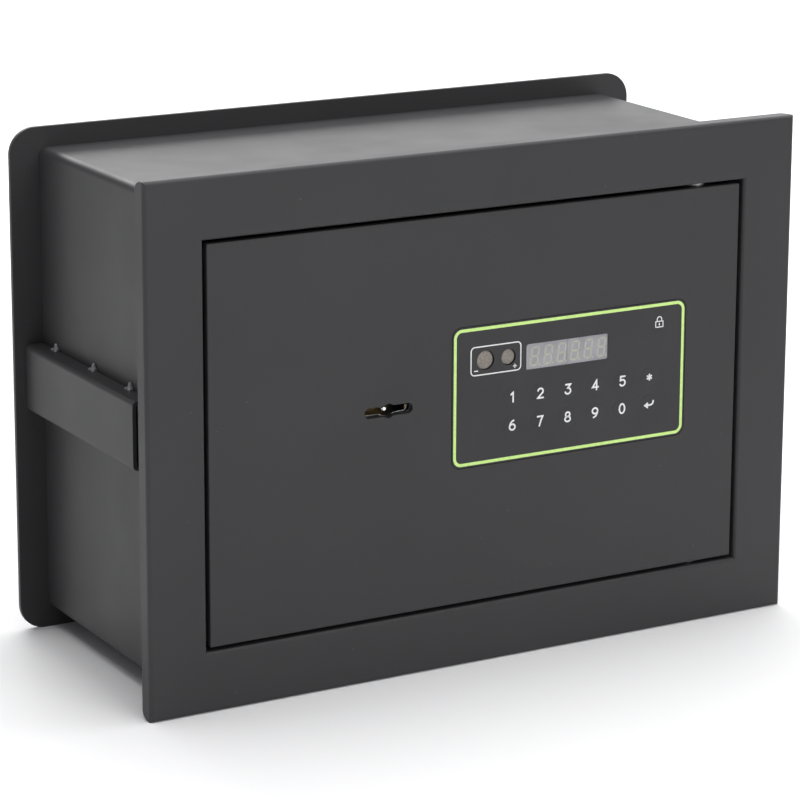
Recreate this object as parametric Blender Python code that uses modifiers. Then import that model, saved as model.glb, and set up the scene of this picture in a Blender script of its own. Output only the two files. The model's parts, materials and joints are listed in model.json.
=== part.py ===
"""Wall safe with a motorised electronic lock and an emergency key lock.

World frame: the safe stands on z = 0, its front faces -Y and +X is to the right.
The origin is the middle of its base. Lengths are in metres.
"""

import math

import bmesh
import bpy
from mathutils import Matrix, Vector

MM = 0.001

# --- driving dimensions -------------------------------------------------------------

# Overall size: the front frame and the rear plate share one outline.
WIDTH = 350 * MM
HEIGHT = 250 * MM
DEPTH = 150 * MM

# Clearance between pieces that touch on the real safe, and between a pin and its bore.
GAP = 0.3 * MM
RUNNING = 0.05 * MM

# Sheet thicknesses.
SHEET = 2.0 * MM
REAR_SHEET = 2.5 * MM
DOOR_SHEET = 4.0 * MM
PAN_SHEET = 1.5 * MM

# Front frame: a tray folded back at its rim and again round the opening.
FRAME_BORDER = 29 * MM
FRAME_RETURN = 8.7 * MM
FRAME_BEND = 2.3 * MM
OPENING_RETURN = 15.5 * MM
OPENING_BEND = 2.0 * MM
NOTCH_START = 1.4 * MM
NOTCH_WIDTH = 3.8 * MM
NOTCH_POINT = 0.02 * MM

# Body: four walls from one strip, set in from the outline.
BODY_INSET_SIDE = 15 * MM
BODY_INSET_TOP = 10 * MM
BODY_FOLD = 4 * MM
REAR_CORNER = 13 * MM
MAT_THICKNESS = 2.5 * MM
MAT_MARGIN = 4 * MM

# Anchor channels on the two side walls.
ANCHOR_HEIGHT = 32.5 * MM
ANCHOR_STAND_OFF = 9.7 * MM
ANCHOR_FRONT = 26 * MM
ANCHOR_RAISE = 3 * MM
ANCHOR_BEND = 2.2 * MM

# Door plate.
DOOR_GAP_SIDE = 2.0 * MM
DOOR_GAP_TOP = 1.75 * MM
DOOR_RECESS = 1.0 * MM
DOOR_EDGE = 0.6 * MM

# Concealed hinge pins.
PIVOT_INSET = 21 * MM
PIVOT_DEPTH = 8.5 * MM
PIN_DIAMETER = 5 * MM
PIN_HEAD_DIAMETER = 10 * MM
PIN_HEAD = 2.5 * MM
PIN_CHAMFER = 0.6 * MM
LUG_WIDTH = 16 * MM
LUG_HEIGHT = 9.5 * MM
LUG_DEPTH = 11.7 * MM
LUG_INSET = 0.35 * MM

# Boltwork pan on the back of the door, and its cover.
PAN_LEFT = 10 * MM
PAN_RIGHT = 28 * MM
PAN_TOP = 11.25 * MM
COVER_BEHIND_BOLTS = 2.0 * MM
PAN_FOLD = 2.5 * MM
COVER_SHEET = 1.5 * MM
COVER_LAP = 1.0 * MM
POST_DIAMETER = 8 * MM
POST_WELD = 0.6 * MM
SCREW_DIAMETER = 3.4 * MM
SCREW_HEAD_DIAMETER = 7.4 * MM
SCREW_HEAD = 2.0 * MM
SCREW_HEAD_CHAMFER = 0.8 * MM
SCREW_REACH = 7.0 * MM
SCREW_DRIVE_DIAMETER = 2.6 * MM
SCREW_DRIVE_DEPTH = 1.1 * MM

# Round bolts and the carriage that carries them.
BOLT_DIAMETER = 14 * MM
BOLT_CHAMFER = 1.2 * MM
BOLT_SPREAD = 94 * MM
BOLT_SHY = 1.5 * MM
BOLT_LENGTH = 31.2 * MM
BOLT_BEHIND_RETURN = 2.0 * MM
CARRIAGE_SHEET = 3 * MM
CARRIAGE_WIDTH = 12 * MM
CARRIAGE_FLANGE = 14 * MM
LOWER_ARM_LENGTH = 60 * MM
UPPER_ARM_LENGTH = 40 * MM
ARM_HEIGHT = 14 * MM
LOWER_ARM_DROP = 20 * MM
UPPER_ARM_DROP = 7 * MM
FLANGE_PAST_BOLT = 12 * MM
BOLT_THROW = 13 * MM
GUIDE_NEAR = 20 * MM
GUIDE_FAR = 46 * MM
GUIDE_DIAMETER = 5 * MM
GUIDE_HEAD_DIAMETER = 9 * MM
GUIDE_HEAD = 2 * MM
SLOT_PLAY = 0.6 * MM

# Rack, pinion and gear motor.
GEAR_MODULE = 1 * MM
PINION_TEETH = 12
PINION_WIDTH = 5 * MM
MESH_PLAY = 0.25 * MM
PINION_BOSS_DIAMETER = 6 * MM
PINION_BOSS_PROUD = 2 * MM
PINION_FROM_FLANGE = 33 * MM
RACK_TEETH = 14
RACK_TEETH_LEFT = 6
RACK_ROOT = 0.1 * MM
RACK_SINK = 2 * MM
GEARBOX_WIDTH = 36 * MM
GEARBOX_HEIGHT = 26 * MM
GEARBOX_DEPTH = 15.4 * MM
GEARBOX_CORNER = 2 * MM
SHAFT_ABOVE_GEARBOX_FOOT = 6 * MM
MOTOR_DIAMETER = 15 * MM
MOTOR_LENGTH = 27 * MM
MOTOR_CHAMFER = 0.8 * MM
MOTOR_ABOVE_GEARBOX_FOOT = 15 * MM
MOTOR_BOSS_DIAMETER = 4 * MM
MOTOR_BOSS = 1.5 * MM

# Limit switch beside the upper arm.
LIMIT_WIDTH = 20 * MM
LIMIT_HEIGHT = 10 * MM
LIMIT_DEPTH = 6 * MM
LIMIT_CLEAR_OF_CARRIAGE = 6 * MM
LIMIT_ABOVE_ARM = 4 * MM
LIMIT_LEVER = 20 * MM
LIMIT_LEVER_OVERHANG = 4 * MM
LIMIT_LEVER_WIDTH = 2 * MM
LIMIT_LEVER_DROP = 1.2 * MM

# Keypad film on the door.
KEYPAD_WIDTH = 131 * MM
KEYPAD_HEIGHT = 68 * MM
KEYPAD_CORNER = 4.5 * MM
KEYPAD_FROM_EDGE = 30 * MM
KEYPAD_RAISE = 6.3 * MM
FILM = 0.5 * MM
KEY_DIAMETER = 9.6 * MM
KEY_DOME = 0.25 * MM
KEY_THICKNESS = 0.9 * MM
KEY_STEM_DIAMETER = 4 * MM
KEY_TRAVEL = 0.4 * MM
KEY_PLAY = 0.5 * MM
KEY_PITCH_X = 15.5 * MM
KEY_PITCH_Z = 13.7 * MM
KEY_COLUMNS = 6
FIRST_KEY_X = 33.0 * MM
FIRST_KEY_Z = 31.2 * MM
KEY_WINDOW_MARGIN = 7 * MM
DISPLAY_WIDTH = 46.4 * MM
DISPLAY_HEIGHT = 13 * MM
DISPLAY_X = 63.6 * MM
DISPLAY_Z = 49.5 * MM
DISPLAY_CORNER = 1.3 * MM
WINDOW_SINK = 0.05 * MM
MODULE_PROUD = 0.2 * MM
MODULE_DEPTH = 4.2 * MM
CONTACT_Z = 51.0 * MM
NEGATIVE_X = 18.1 * MM
POSITIVE_X = 30.7 * MM
NEGATIVE_DIAMETER = 9.2 * MM
POSITIVE_DIAMETER = 7.6 * MM
CONTACT_SINK = 0.9 * MM
CONTACT_EDGE = 0.5 * MM
CONTACT_THICKNESS = 1.6 * MM
CONTACT_STEM_DIAMETER = 3 * MM
BOARD_THICKNESS = 1.6 * MM
BOARD_MARGIN = 3 * MM
BOARD_STAND_OFF = 1.1 * MM
SOLDER_SINK = 0.4 * MM
SWITCH_BODY = 6 * MM
SWITCH_HEIGHT = 1.5 * MM
PLUNGER_DIAMETER = 3.4 * MM
PLUNGER = 0.4 * MM
CHIP_WIDTH = 18 * MM
CHIP_HEIGHT = 12 * MM
CHIP_DEPTH = 2.2 * MM
COMPONENTS_FROM_TOP = 18 * MM
SOCKET_FROM_LEFT = 6 * MM
SOCKET_WIDTH = 10 * MM
SOCKET_HEIGHT = 8 * MM
SOCKET_DEPTH = 4 * MM
BUZZER_FROM_MIDDLE = 24 * MM
BUZZER_DIAMETER = 12 * MM
BUZZER_DEPTH = 5 * MM

# Emergency double-bit key lock.
KEY_LOCK_FROM_KEYPAD = 34 * MM
KEY_LOCK_RAISE = 5.5 * MM
SLOT_LENGTH = 25.6 * MM
SLOT_HEIGHT = 5.0 * MM
SLOT_CENTRE_DIAMETER = 7.0 * MM
KEY_PIN_DIAMETER = 3.2 * MM
LOCK_WIDTH = 54 * MM
LOCK_HEIGHT = 44 * MM
LOCK_DEPTH = 15.2 * MM
LOCK_WALL = 1.5 * MM
LOCK_CORNER = 2 * MM
KEY_PIN_CHAMFER = 0.7 * MM
CAM_DIAMETER = 16 * MM
CAM_FINGER = 12 * MM
CAM_FINGER_WIDTH = 6 * MM
CAM_THICKNESS = 3.2 * MM
LEVER_COUNT = 3
LEVER_THICKNESS = 1.5 * MM
LEVER_PITCH = 2.0 * MM
LEVER_HEIGHT = 8 * MM
LEVER_DROP = 8.5 * MM
LEVER_POST_DIAMETER = 4 * MM
LEVER_POST_INSET = 8 * MM
LEVER_POST_SHORT = 0.5 * MM
LEVER_BUSH_DIAMETER = 6.4 * MM
LEVER_FREE_END_INSET = 6 * MM
LEVERS_BEHIND_STRIP = 2 * MM
STRIP_THICKNESS = 0.9 * MM
STRIP_DEPTH = 2.0 * MM
STRIP_DROP = 2.2 * MM
STRIP_SHIFT = 2.6 * MM

# Batteries.
CELL_DIAMETER = 14.2 * MM
CELL_LENGTH = 50 * MM
CELL_COUNT = 4
CELL_PITCH = 14.0 * MM
CELL_TIP_DIAMETER = 5.4 * MM
CELL_TIP = 1.2 * MM
CELL_PLAY = 4 * MM
HOLDER_WALL = 1.5 * MM
HOLDER_DEPTH = 19 * MM
HOLDER_FROM_RIGHT = 15 * MM
HOLDER_FROM_BOTTOM = 12 * MM
LID_LAP = 4 * MM
LID_THICKNESS = 1.6 * MM
LID_CORNER = 3 * MM
LID_RIBS = 5
LID_FIRST_RIB = 5 * MM
LID_RIB_PITCH = 3 * MM
LID_RIB_WIDTH = 1.2 * MM
LID_RIB_PROUD = 0.8 * MM
LID_RIB_FROM_END = 22 * MM

# Code-reset button.
RESET_DIAMETER = 7 * MM
RESET_EDGE = 0.5 * MM
RESET_PROUD = 2 * MM
RESET_SKIRT = 4 * MM
RESET_TRAVEL = 1.2 * MM
RESET_STEM = 3.5 * MM
RESET_SWITCH = 5 * MM
RESET_FROM_RIGHT = 14 * MM
RESET_FROM_TOP = 16 * MM

# Leads inside the door.
LEAD_DIAMETER = 1.8 * MM
LEAD_STEPS = 4
LEAD_TO_SOCKET = 1.5 * MM

# --- places worked out from them ------------------------------------------------------

FRONT = -DEPTH / 2
REAR = DEPTH / 2
MID_Z = HEIGHT / 2

OPENING_HALF_X = WIDTH / 2 - FRAME_BORDER
OPENING_HALF_Z = HEIGHT / 2 - FRAME_BORDER
DOOR_HALF_X = OPENING_HALF_X - DOOR_GAP_SIDE
DOOR_HALF_Z = OPENING_HALF_Z - DOOR_GAP_TOP
DOOR_FRONT = FRONT + DOOR_RECESS
DOOR_BACK = DOOR_FRONT + DOOR_SHEET
ON_DOOR = DOOR_BACK + GAP

BODY_HALF_X = WIDTH / 2 - BODY_INSET_SIDE
BODY_HALF_Z = HEIGHT / 2 - BODY_INSET_TOP

PIVOT_X = DOOR_HALF_X - PIVOT_INSET
PIVOT_Y = DOOR_FRONT + PIVOT_DEPTH

PAN_X = (-DOOR_HALF_X + PAN_LEFT, DOOR_HALF_X - PAN_RIGHT)
PAN_Z = (MID_Z - DOOR_HALF_Z + PAN_TOP, MID_Z + DOOR_HALF_Z - PAN_TOP)

BOLT_Y = FRONT + OPENING_RETURN + BOLT_BEHIND_RETURN + BOLT_DIAMETER / 2
PAN_BACK = BOLT_Y + BOLT_DIAMETER / 2 + COVER_BEHIND_BOLTS
COVER_FRONT = PAN_BACK + GAP
COVER_BACK = COVER_FRONT + COVER_SHEET
BOLT_TIP = -DOOR_HALF_X + BOLT_SHY
BOLT_HEEL = BOLT_TIP + BOLT_LENGTH
BOLT_Z = (MID_Z - BOLT_SPREAD / 2, MID_Z + BOLT_SPREAD / 2)
FLANGE_X = (BOLT_HEEL + GAP, BOLT_HEEL + GAP + CARRIAGE_SHEET)
CARRIAGE_Y = (BOLT_Y - CARRIAGE_SHEET / 2, BOLT_Y + CARRIAGE_SHEET / 2)
LOWER_ARM_Z = (BOLT_Z[0] - LOWER_ARM_DROP, BOLT_Z[0] - LOWER_ARM_DROP + ARM_HEIGHT)
UPPER_ARM_Z = (BOLT_Z[1] - UPPER_ARM_DROP, BOLT_Z[1] - UPPER_ARM_DROP + ARM_HEIGHT)

PITCH_RADIUS = GEAR_MODULE * PINION_TEETH / 2
RACK_PITCH_Z = LOWER_ARM_Z[1] + GEAR_MODULE
PINION_X = FLANGE_X[0] + PINION_FROM_FLANGE
PINION_Z = RACK_PITCH_Z + PITCH_RADIUS + MESH_PLAY
GEARBOX_BACK = ON_DOOR + GEARBOX_DEPTH

KEYPAD_RIGHT = DOOR_HALF_X - KEYPAD_FROM_EDGE
KEYPAD_LEFT = KEYPAD_RIGHT - KEYPAD_WIDTH
KEYPAD_BOTTOM = MID_Z + KEYPAD_RAISE - KEYPAD_HEIGHT / 2
KEYPAD_TOP = KEYPAD_BOTTOM + KEYPAD_HEIGHT
FILM_BACK = DOOR_FRONT + FILM
POCKET_FLOOR = FILM_BACK + GAP
BOARD_FRONT = DOOR_BACK + BOARD_STAND_OFF
BOARD_BACK = BOARD_FRONT + BOARD_THICKNESS
SWITCH_FRONT = BOARD_FRONT - SWITCH_HEIGHT
PLUNGER_TIP = SWITCH_FRONT - PLUNGER
KEY_STEM_END = PLUNGER_TIP - KEY_TRAVEL - KEY_PLAY - DOOR_FRONT

LOCK_X = KEYPAD_LEFT - KEY_LOCK_FROM_KEYPAD
LOCK_Z = MID_Z + KEY_LOCK_RAISE
LOCK_BACK = ON_DOOR + LOCK_DEPTH

HOLDER_RIGHT = PAN_X[1] - PAN_SHEET - HOLDER_FROM_RIGHT
HOLDER_X = (HOLDER_RIGHT - CELL_LENGTH - CELL_PLAY - 2 * HOLDER_WALL, HOLDER_RIGHT)
HOLDER_BOTTOM = PAN_Z[0] + PAN_SHEET + HOLDER_FROM_BOTTOM
HOLDER_TOP = HOLDER_BOTTOM + CELL_COUNT * CELL_PITCH + CELL_PLAY / 2 + 2 * HOLDER_WALL
HOLDER_Z = (HOLDER_BOTTOM, HOLDER_TOP)
HOLDER_FRONT = COVER_FRONT - GAP - HOLDER_DEPTH

COLLECTION_NAME = "wall_safe"


# --- helpers ---------------------------------------------------------------------------


def new_collection(name):
    made = bpy.data.collections.new(name)
    bpy.context.scene.collection.children.link(made)
    return made


def clear_scene():
    for obj in list(bpy.data.objects):
        bpy.data.objects.remove(obj, do_unlink=True)


def finish(name, colour, roughness, metallic=0.0):
    """A Principled material in one colour."""
    made = bpy.data.materials.new(name)
    made.use_nodes = True
    shader = made.node_tree.nodes["Principled BSDF"]
    shader.inputs["Base Color"].default_value = (*colour, 1.0)
    shader.inputs["Roughness"].default_value = roughness
    shader.inputs["Metallic"].default_value = metallic
    made.diffuse_color = (*colour, 1.0)
    return made


def block(x, y, z):
    """A box between the two values of each pair."""
    mesh = bmesh.new()
    size = Vector((x[1] - x[0], y[1] - y[0], z[1] - z[0]))
    centre = Vector((x[1] + x[0], y[1] + y[0], z[1] + z[0])) / 2
    place = Matrix.Translation(centre) @ Matrix.Diagonal((*size, 1.0))
    bmesh.ops.create_cube(mesh, size=1.0, matrix=place)
    return mesh


def round_edges(mesh, axis, radius, segments=4, where=None):
    """Rounds the edges along one axis (0, 1 or 2), all of them or those that where(midpoint) picks."""
    picked = []
    for edge in mesh.edges:
        run = edge.verts[1].co - edge.verts[0].co
        along = abs(run[axis]) > 0.999 * run.length
        middle = (edge.verts[0].co + edge.verts[1].co) / 2
        if along and (where is None or where(middle)):
            picked.append(edge)
    bmesh.ops.bevel(
        mesh,
        geom=picked,
        offset=radius,
        offset_type="OFFSET",
        segments=segments,
        profile=0.5,
        affect="EDGES",
    )
    return mesh


def rod(radius, start, end, sides=24, end_radius=None):
    """A cylinder or a cone between two points."""
    start = Vector(start)
    run = Vector(end) - start
    place = Matrix.Translation(start + run / 2) @ run.to_track_quat("Z", "Y").to_matrix().to_4x4()
    mesh = bmesh.new()
    bmesh.ops.create_cone(
        mesh,
        cap_ends=True,
        segments=sides,
        radius1=radius,
        radius2=radius if end_radius is None else end_radius,
        depth=run.length,
        matrix=place,
    )
    return mesh


def prism(outline, span):
    """An outline of (x, z) pairs pushed along Y between the two values of span."""
    mesh = bmesh.new()
    corners = [mesh.verts.new((x, span[0], z)) for x, z in outline]
    face = mesh.faces.new(corners)
    grown = bmesh.ops.extrude_face_region(mesh, geom=[face])["geom"]
    moved = [item for item in grown if isinstance(item, bmesh.types.BMVert)]
    bmesh.ops.translate(mesh, vec=(0, span[1] - span[0], 0), verts=moved)
    bmesh.ops.recalc_face_normals(mesh, faces=mesh.faces)
    return mesh


def merged(meshes):
    """Several separate solids in one mesh."""
    result = bmesh.new()
    for part in meshes:
        spare = bpy.data.meshes.new("spare")
        part.to_mesh(spare)
        part.free()
        result.from_mesh(spare)
        bpy.data.meshes.remove(spare)
    return result


def centre_of(mesh):
    low = Vector([min(vertex.co[axis] for vertex in mesh.verts) for axis in range(3)])
    high = Vector([max(vertex.co[axis] for vertex in mesh.verts) for axis in range(3)])
    return (low + high) / 2


def new_object(name, mesh, where, origin=None, smooth=False):
    """Makes an object whose origin is the point given, or else the middle of its mesh."""
    origin = centre_of(mesh) if origin is None else Vector(origin)
    bmesh.ops.translate(mesh, vec=-origin, verts=mesh.verts)
    data = bpy.data.meshes.new(name)
    mesh.to_mesh(data)
    mesh.free()
    if smooth:
        data.shade_smooth()
        data.set_sharp_from_angle(angle=math.radians(35))
    made = bpy.data.objects.new(name, data)
    made.location = origin
    where.objects.link(made)
    return made


def part(name, mesh, material, body=None, origin=None, smooth=False):
    """A sub-part in the safe's collection, riding on its body's empty if it has one."""
    made = new_object(name, mesh, PARTS, origin, smooth)
    made.data.materials.append(material)
    if body is not None:
        ride(made, body)
    return made


def ride(child, body):
    child.parent = body
    child.matrix_parent_inverse = Matrix.Translation(-WORLD_PLACE[body.name])


def body_empty(name, place, parent=None):
    """An empty on a joint's axis, which the pieces of one moving body ride on."""
    made = bpy.data.objects.new(name, None)
    made.empty_display_size = 20 * MM
    made.location = Vector(place)
    PARTS.objects.link(made)
    WORLD_PLACE[name] = Vector(place)
    if parent is not None:
        ride(made, parent)
    return made


def boolean(target, mesh, operation="DIFFERENCE", name="cut"):
    """Cuts a mesh from an object, or joins it on, with a Boolean modifier and a helper object."""
    helper = new_object(f"{target.name}_{name}", mesh, CUTTERS)
    helper.hide_render = True
    helper.display_type = "WIRE"
    modifier = target.modifiers.new(name, "BOOLEAN")
    modifier.object = helper
    modifier.operation = operation
    modifier.solver = "EXACT"
    return modifier


def solidify(target, thickness, offset):
    modifier = target.modifiers.new("sheet", "SOLIDIFY")
    modifier.thickness = thickness
    modifier.offset = offset
    modifier.use_even_offset = True


def turned(name, profile, material, place, axis, body=None, sides=24):
    """A turned piece: (radius, height) pairs from the top down, spun round a local Z laid along axis."""
    data = bpy.data.meshes.new(name)
    points = [(radius, 0.0, height) for radius, height in profile]
    data.from_pydata(points, [(i, i + 1) for i in range(len(points) - 1)], [])
    made = bpy.data.objects.new(name, data)
    PARTS.objects.link(made)
    made.location = place
    made.rotation_mode = "QUATERNION"
    made.rotation_quaternion = Vector(axis).to_track_quat("Z", "Y")
    modifier = made.modifiers.new("turn", "SCREW")
    modifier.steps = sides
    modifier.render_steps = sides
    modifier.use_merge_vertices = True
    modifier.merge_threshold = 0.00001
    made.data.materials.append(material)
    if body is not None:
        ride(made, body)
    return made


def arc(centre, radius, start, end, steps):
    """Points on an arc, from one angle to another in degrees."""
    angles = [math.radians(start + (end - start) * i / steps) for i in range(steps + 1)]
    return [(centre[0] + radius * math.cos(a), centre[1] + radius * math.sin(a)) for a in angles]


# --- body of the safe --------------------------------------------------------------------


def body_shell():
    outer = block((-BODY_HALF_X, BODY_HALF_X), (FRONT + SHEET + GAP, REAR - REAR_SHEET - GAP),
                  (MID_Z - BODY_HALF_Z, MID_Z + BODY_HALF_Z))
    round_edges(outer, 1, BODY_FOLD)
    made = part("body_shell", outer, GRAPHITE)
    inner = block((-BODY_HALF_X + SHEET, BODY_HALF_X - SHEET), (FRONT, REAR),
                  (MID_Z - BODY_HALF_Z + SHEET, MID_Z + BODY_HALF_Z - SHEET))
    round_edges(inner, 1, BODY_FOLD - SHEET)
    boolean(made, inner)


def rear_plate():
    plate = block((-WIDTH / 2, WIDTH / 2), (REAR - REAR_SHEET, REAR), (0, HEIGHT))
    part("rear_plate", round_edges(plate, 1, REAR_CORNER, segments=8), GRAPHITE)


def frame_profile():
    """(offset inwards from the outline, depth behind the face) along the visible side of the folded tray."""
    rim = [(0.0, FRAME_RETURN)]
    rim += arc((FRAME_BEND, FRAME_BEND), FRAME_BEND, 180, 270, 4)
    inner = FRAME_BORDER - OPENING_BEND
    rim += arc((inner, OPENING_BEND), OPENING_BEND, 270, 360, 4)
    return rim + [(FRAME_BORDER, OPENING_RETURN)]


def rectangle_ring(mesh, offset, depth):
    """Four edges round the frame at one offset and depth."""
    half_x = WIDTH / 2 - offset
    half_z = HEIGHT / 2 - offset
    corners = [(-half_x, -half_z), (half_x, -half_z), (half_x, half_z), (-half_x, half_z)]
    verts = [mesh.verts.new((x, FRONT + depth, MID_Z + z)) for x, z in corners]
    return [mesh.edges.new((verts[i], verts[(i + 1) % 4])) for i in range(4)]


def front_frame():
    mesh = bmesh.new()
    rings = [rectangle_ring(mesh, offset, depth) for offset, depth in frame_profile()]
    for first, second in zip(rings, rings[1:]):
        bmesh.ops.bridge_loops(mesh, edges=first + second)
    bmesh.ops.recalc_face_normals(mesh, faces=mesh.faces)
    face = min(mesh.faces, key=lambda f: f.calc_center_median().y)
    face.normal_update()
    if face.normal.y > 0:
        bmesh.ops.reverse_faces(mesh, faces=mesh.faces)
    made = part("front_frame", mesh, GRAPHITE)
    solidify(made, SHEET, -1)
    for side in (-1, 1):
        for level in (0, HEIGHT):
            boolean(made, corner_notch(side * WIDTH / 2, level), name=f"notch_{side}_{level > 0}")
    reach = OPENING_HALF_Z + 2 * SHEET
    foot = (PIVOT_X, PIVOT_Y, MID_Z - reach)
    head = (PIVOT_X, PIVOT_Y, MID_Z + reach)
    boolean(made, rod(PIN_DIAMETER / 2 + GAP, foot, head), name="pin_hole")


def corner_notch(x, z):
    """A trumpet-shaped cutter that separates two returns at a corner and rounds their ends."""
    rings = []
    steps = 5
    run = FRAME_RETURN - NOTCH_START
    for i in range(steps + 1):
        share = i / steps
        radius = NOTCH_WIDTH * (1 - math.sqrt(1 - share * share)) + NOTCH_POINT
        rings.append((radius, NOTCH_START + run * share))
    rings.append((NOTCH_WIDTH + 4 * NOTCH_POINT, FRAME_RETURN + MM))
    mesh = bmesh.new()
    loops = []
    sides = 16
    for radius, depth in rings:
        turn = [2 * math.pi * i / sides for i in range(sides)]
        circle = [(x + radius * math.cos(a), z + radius * math.sin(a)) for a in turn]
        verts = [mesh.verts.new((across, FRONT + depth, up)) for across, up in circle]
        loops.append([mesh.edges.new((verts[i], verts[(i + 1) % sides])) for i in range(sides)])
    for first, second in zip(loops, loops[1:]):
        bmesh.ops.bridge_loops(mesh, edges=first + second)
    bmesh.ops.holes_fill(mesh, edges=loops[0] + loops[-1], sides=sides)
    bmesh.ops.recalc_face_normals(mesh, faces=mesh.faces)
    return mesh


def anchor_channel(name, side):
    wall = side * (BODY_HALF_X + GAP)
    web = side * (BODY_HALF_X + ANCHOR_STAND_OFF)
    x = sorted((wall, web))
    y = (FRONT + ANCHOR_FRONT, REAR - REAR_SHEET - GAP)
    z = (MID_Z + ANCHOR_RAISE - ANCHOR_HEIGHT / 2, MID_Z + ANCHOR_RAISE + ANCHOR_HEIGHT / 2)
    outer = block(x, y, z)

    def on_web(middle):
        return abs(middle.x) > abs(wall) + MM

    def on_rear_of_web(middle):
        return on_web(middle) and middle.y > 0

    round_edges(outer, 1, ANCHOR_BEND, where=on_web)
    round_edges(outer, 2, ANCHOR_BEND, where=on_rear_of_web)
    made = part(name, outer, GRAPHITE)
    inside = sorted((wall - side * MM, web - side * SHEET))
    boolean(made, block(inside, (y[0] - MM, y[1] - SHEET), (z[0] + SHEET, z[1] - SHEET)))


def floor_mat():
    x = BODY_HALF_X - SHEET - MAT_MARGIN
    floor = MID_Z - BODY_HALF_Z + SHEET
    y = (FRONT + OPENING_RETURN + MAT_MARGIN, REAR - REAR_SHEET - MAT_MARGIN)
    mat = block((-x, x), y, (floor + GAP, floor + GAP + MAT_THICKNESS))
    part("floor_mat", round_edges(mat, 2, MAT_MARGIN), FELT)


# --- hinges ----------------------------------------------------------------------------


def hinge_pin(name, up):
    """A headed pin through the frame's return into the door's lug; up is 1 at the top, -1 below."""
    return_face = MID_Z + up * OPENING_HALF_Z
    head_start = return_face + up * (SHEET + GAP)
    tip = return_face - up * (DOOR_GAP_TOP + LUG_INSET + LUG_HEIGHT)
    length = abs(head_start - tip)
    profile = [
        (0.0, PIN_HEAD),
        (PIN_HEAD_DIAMETER / 2 - PIN_CHAMFER, PIN_HEAD),
        (PIN_HEAD_DIAMETER / 2, PIN_HEAD - PIN_CHAMFER),
        (PIN_HEAD_DIAMETER / 2, 0.0),
        (PIN_DIAMETER / 2, 0.0),
        (PIN_DIAMETER / 2, -length + PIN_CHAMFER),
        (PIN_DIAMETER / 2 - PIN_CHAMFER, -length),
        (0.0, -length),
    ]
    turned(name, profile, STEEL, (PIVOT_X, PIVOT_Y, head_start), (0, 0, up))


def hinge_washer(name, up):
    low = MID_Z + up * (OPENING_HALF_Z - GAP)
    high = MID_Z + up * (DOOR_HALF_Z - LUG_INSET + GAP)
    ring = rod(PIN_HEAD_DIAMETER / 2, (PIVOT_X, PIVOT_Y, low), (PIVOT_X, PIVOT_Y, high))
    made = part(name, ring, STEEL, smooth=True)
    bore = rod(PIN_DIAMETER / 2 + GAP, (PIVOT_X, PIVOT_Y, 0), (PIVOT_X, PIVOT_Y, HEIGHT))
    boolean(made, bore)


def hinge_lug(name, up, door):
    edge = MID_Z + up * (DOOR_HALF_Z - LUG_INSET)
    z = sorted((edge, edge - up * LUG_HEIGHT))
    lug = block((PIVOT_X - LUG_WIDTH / 2, PIVOT_X + LUG_WIDTH / 2), (ON_DOOR, ON_DOOR + LUG_DEPTH), z)
    round_edges(lug, 2, LUG_DEPTH / 3, where=lambda middle: middle.y > ON_DOOR + MM)
    made = part(name, lug, STEEL, door)
    boolean(made, rod(PIN_DIAMETER / 2 + RUNNING, (PIVOT_X, PIVOT_Y, 0), (PIVOT_X, PIVOT_Y, HEIGHT)))


# --- door ------------------------------------------------------------------------------


def key_slot_cutter(depth):
    half = SLOT_LENGTH / 2
    slot = block((LOCK_X - half, LOCK_X + half), depth, (LOCK_Z - SLOT_HEIGHT / 2, LOCK_Z + SLOT_HEIGHT / 2))
    round_edges(slot, 1, SLOT_HEIGHT * 0.48, segments=5, where=lambda middle: middle.x > LOCK_X)
    round_edges(slot, 1, SLOT_HEIGHT * 0.3, segments=1, where=lambda middle: middle.x < LOCK_X - half / 2)
    return slot


def door_plate(door):
    x = (-DOOR_HALF_X, DOOR_HALF_X)
    z = (MID_Z - DOOR_HALF_Z, MID_Z + DOOR_HALF_Z)
    plate = block(x, (DOOR_FRONT, DOOR_BACK), z)
    round_edges(plate, 1, DOOR_EDGE, segments=2)
    made = part("door_plate", plate, GRAPHITE, door)
    edge = made.modifiers.new("edge", "BEVEL")
    edge.width = DOOR_EDGE
    edge.segments = 2
    edge.limit_method = "ANGLE"
    edge.angle_limit = math.radians(60)
    through = (DOOR_FRONT - MM, DOOR_BACK + MM)
    pocket = block((KEYPAD_LEFT - GAP, KEYPAD_RIGHT + GAP), (DOOR_FRONT - MM, POCKET_FLOOR),
                   (KEYPAD_BOTTOM - GAP, KEYPAD_TOP + GAP))
    boolean(made, round_edges(pocket, 1, KEYPAD_CORNER + GAP, segments=6), name="pocket")
    first_x = KEYPAD_LEFT + FIRST_KEY_X
    last_x = first_x + KEY_PITCH_X * (KEY_COLUMNS - 1)
    first_z = KEYPAD_BOTTOM + FIRST_KEY_Z
    keys_x = (first_x - KEY_WINDOW_MARGIN, last_x + KEY_WINDOW_MARGIN)
    keys_z = (first_z - KEY_PITCH_Z - KEY_WINDOW_MARGIN, first_z + KEY_WINDOW_MARGIN)
    boolean(made, block(keys_x, through, keys_z), name="key_window")
    boolean(made, display_block(through, GAP), name="display_window")
    level = contact_level()
    for name, place, diameter in contacts():
        hole = rod(diameter / 2 + 2 * GAP, (place, through[0], level), (place, through[1], level))
        boolean(made, hole, name=f"{name}_hole")
    boolean(made, key_slot_cutter(through), name="key_slot")
    centre = rod(SLOT_CENTRE_DIAMETER / 2, (LOCK_X, through[0], LOCK_Z), (LOCK_X, through[1], LOCK_Z))
    boolean(made, centre, name="key_slot_centre")


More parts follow.
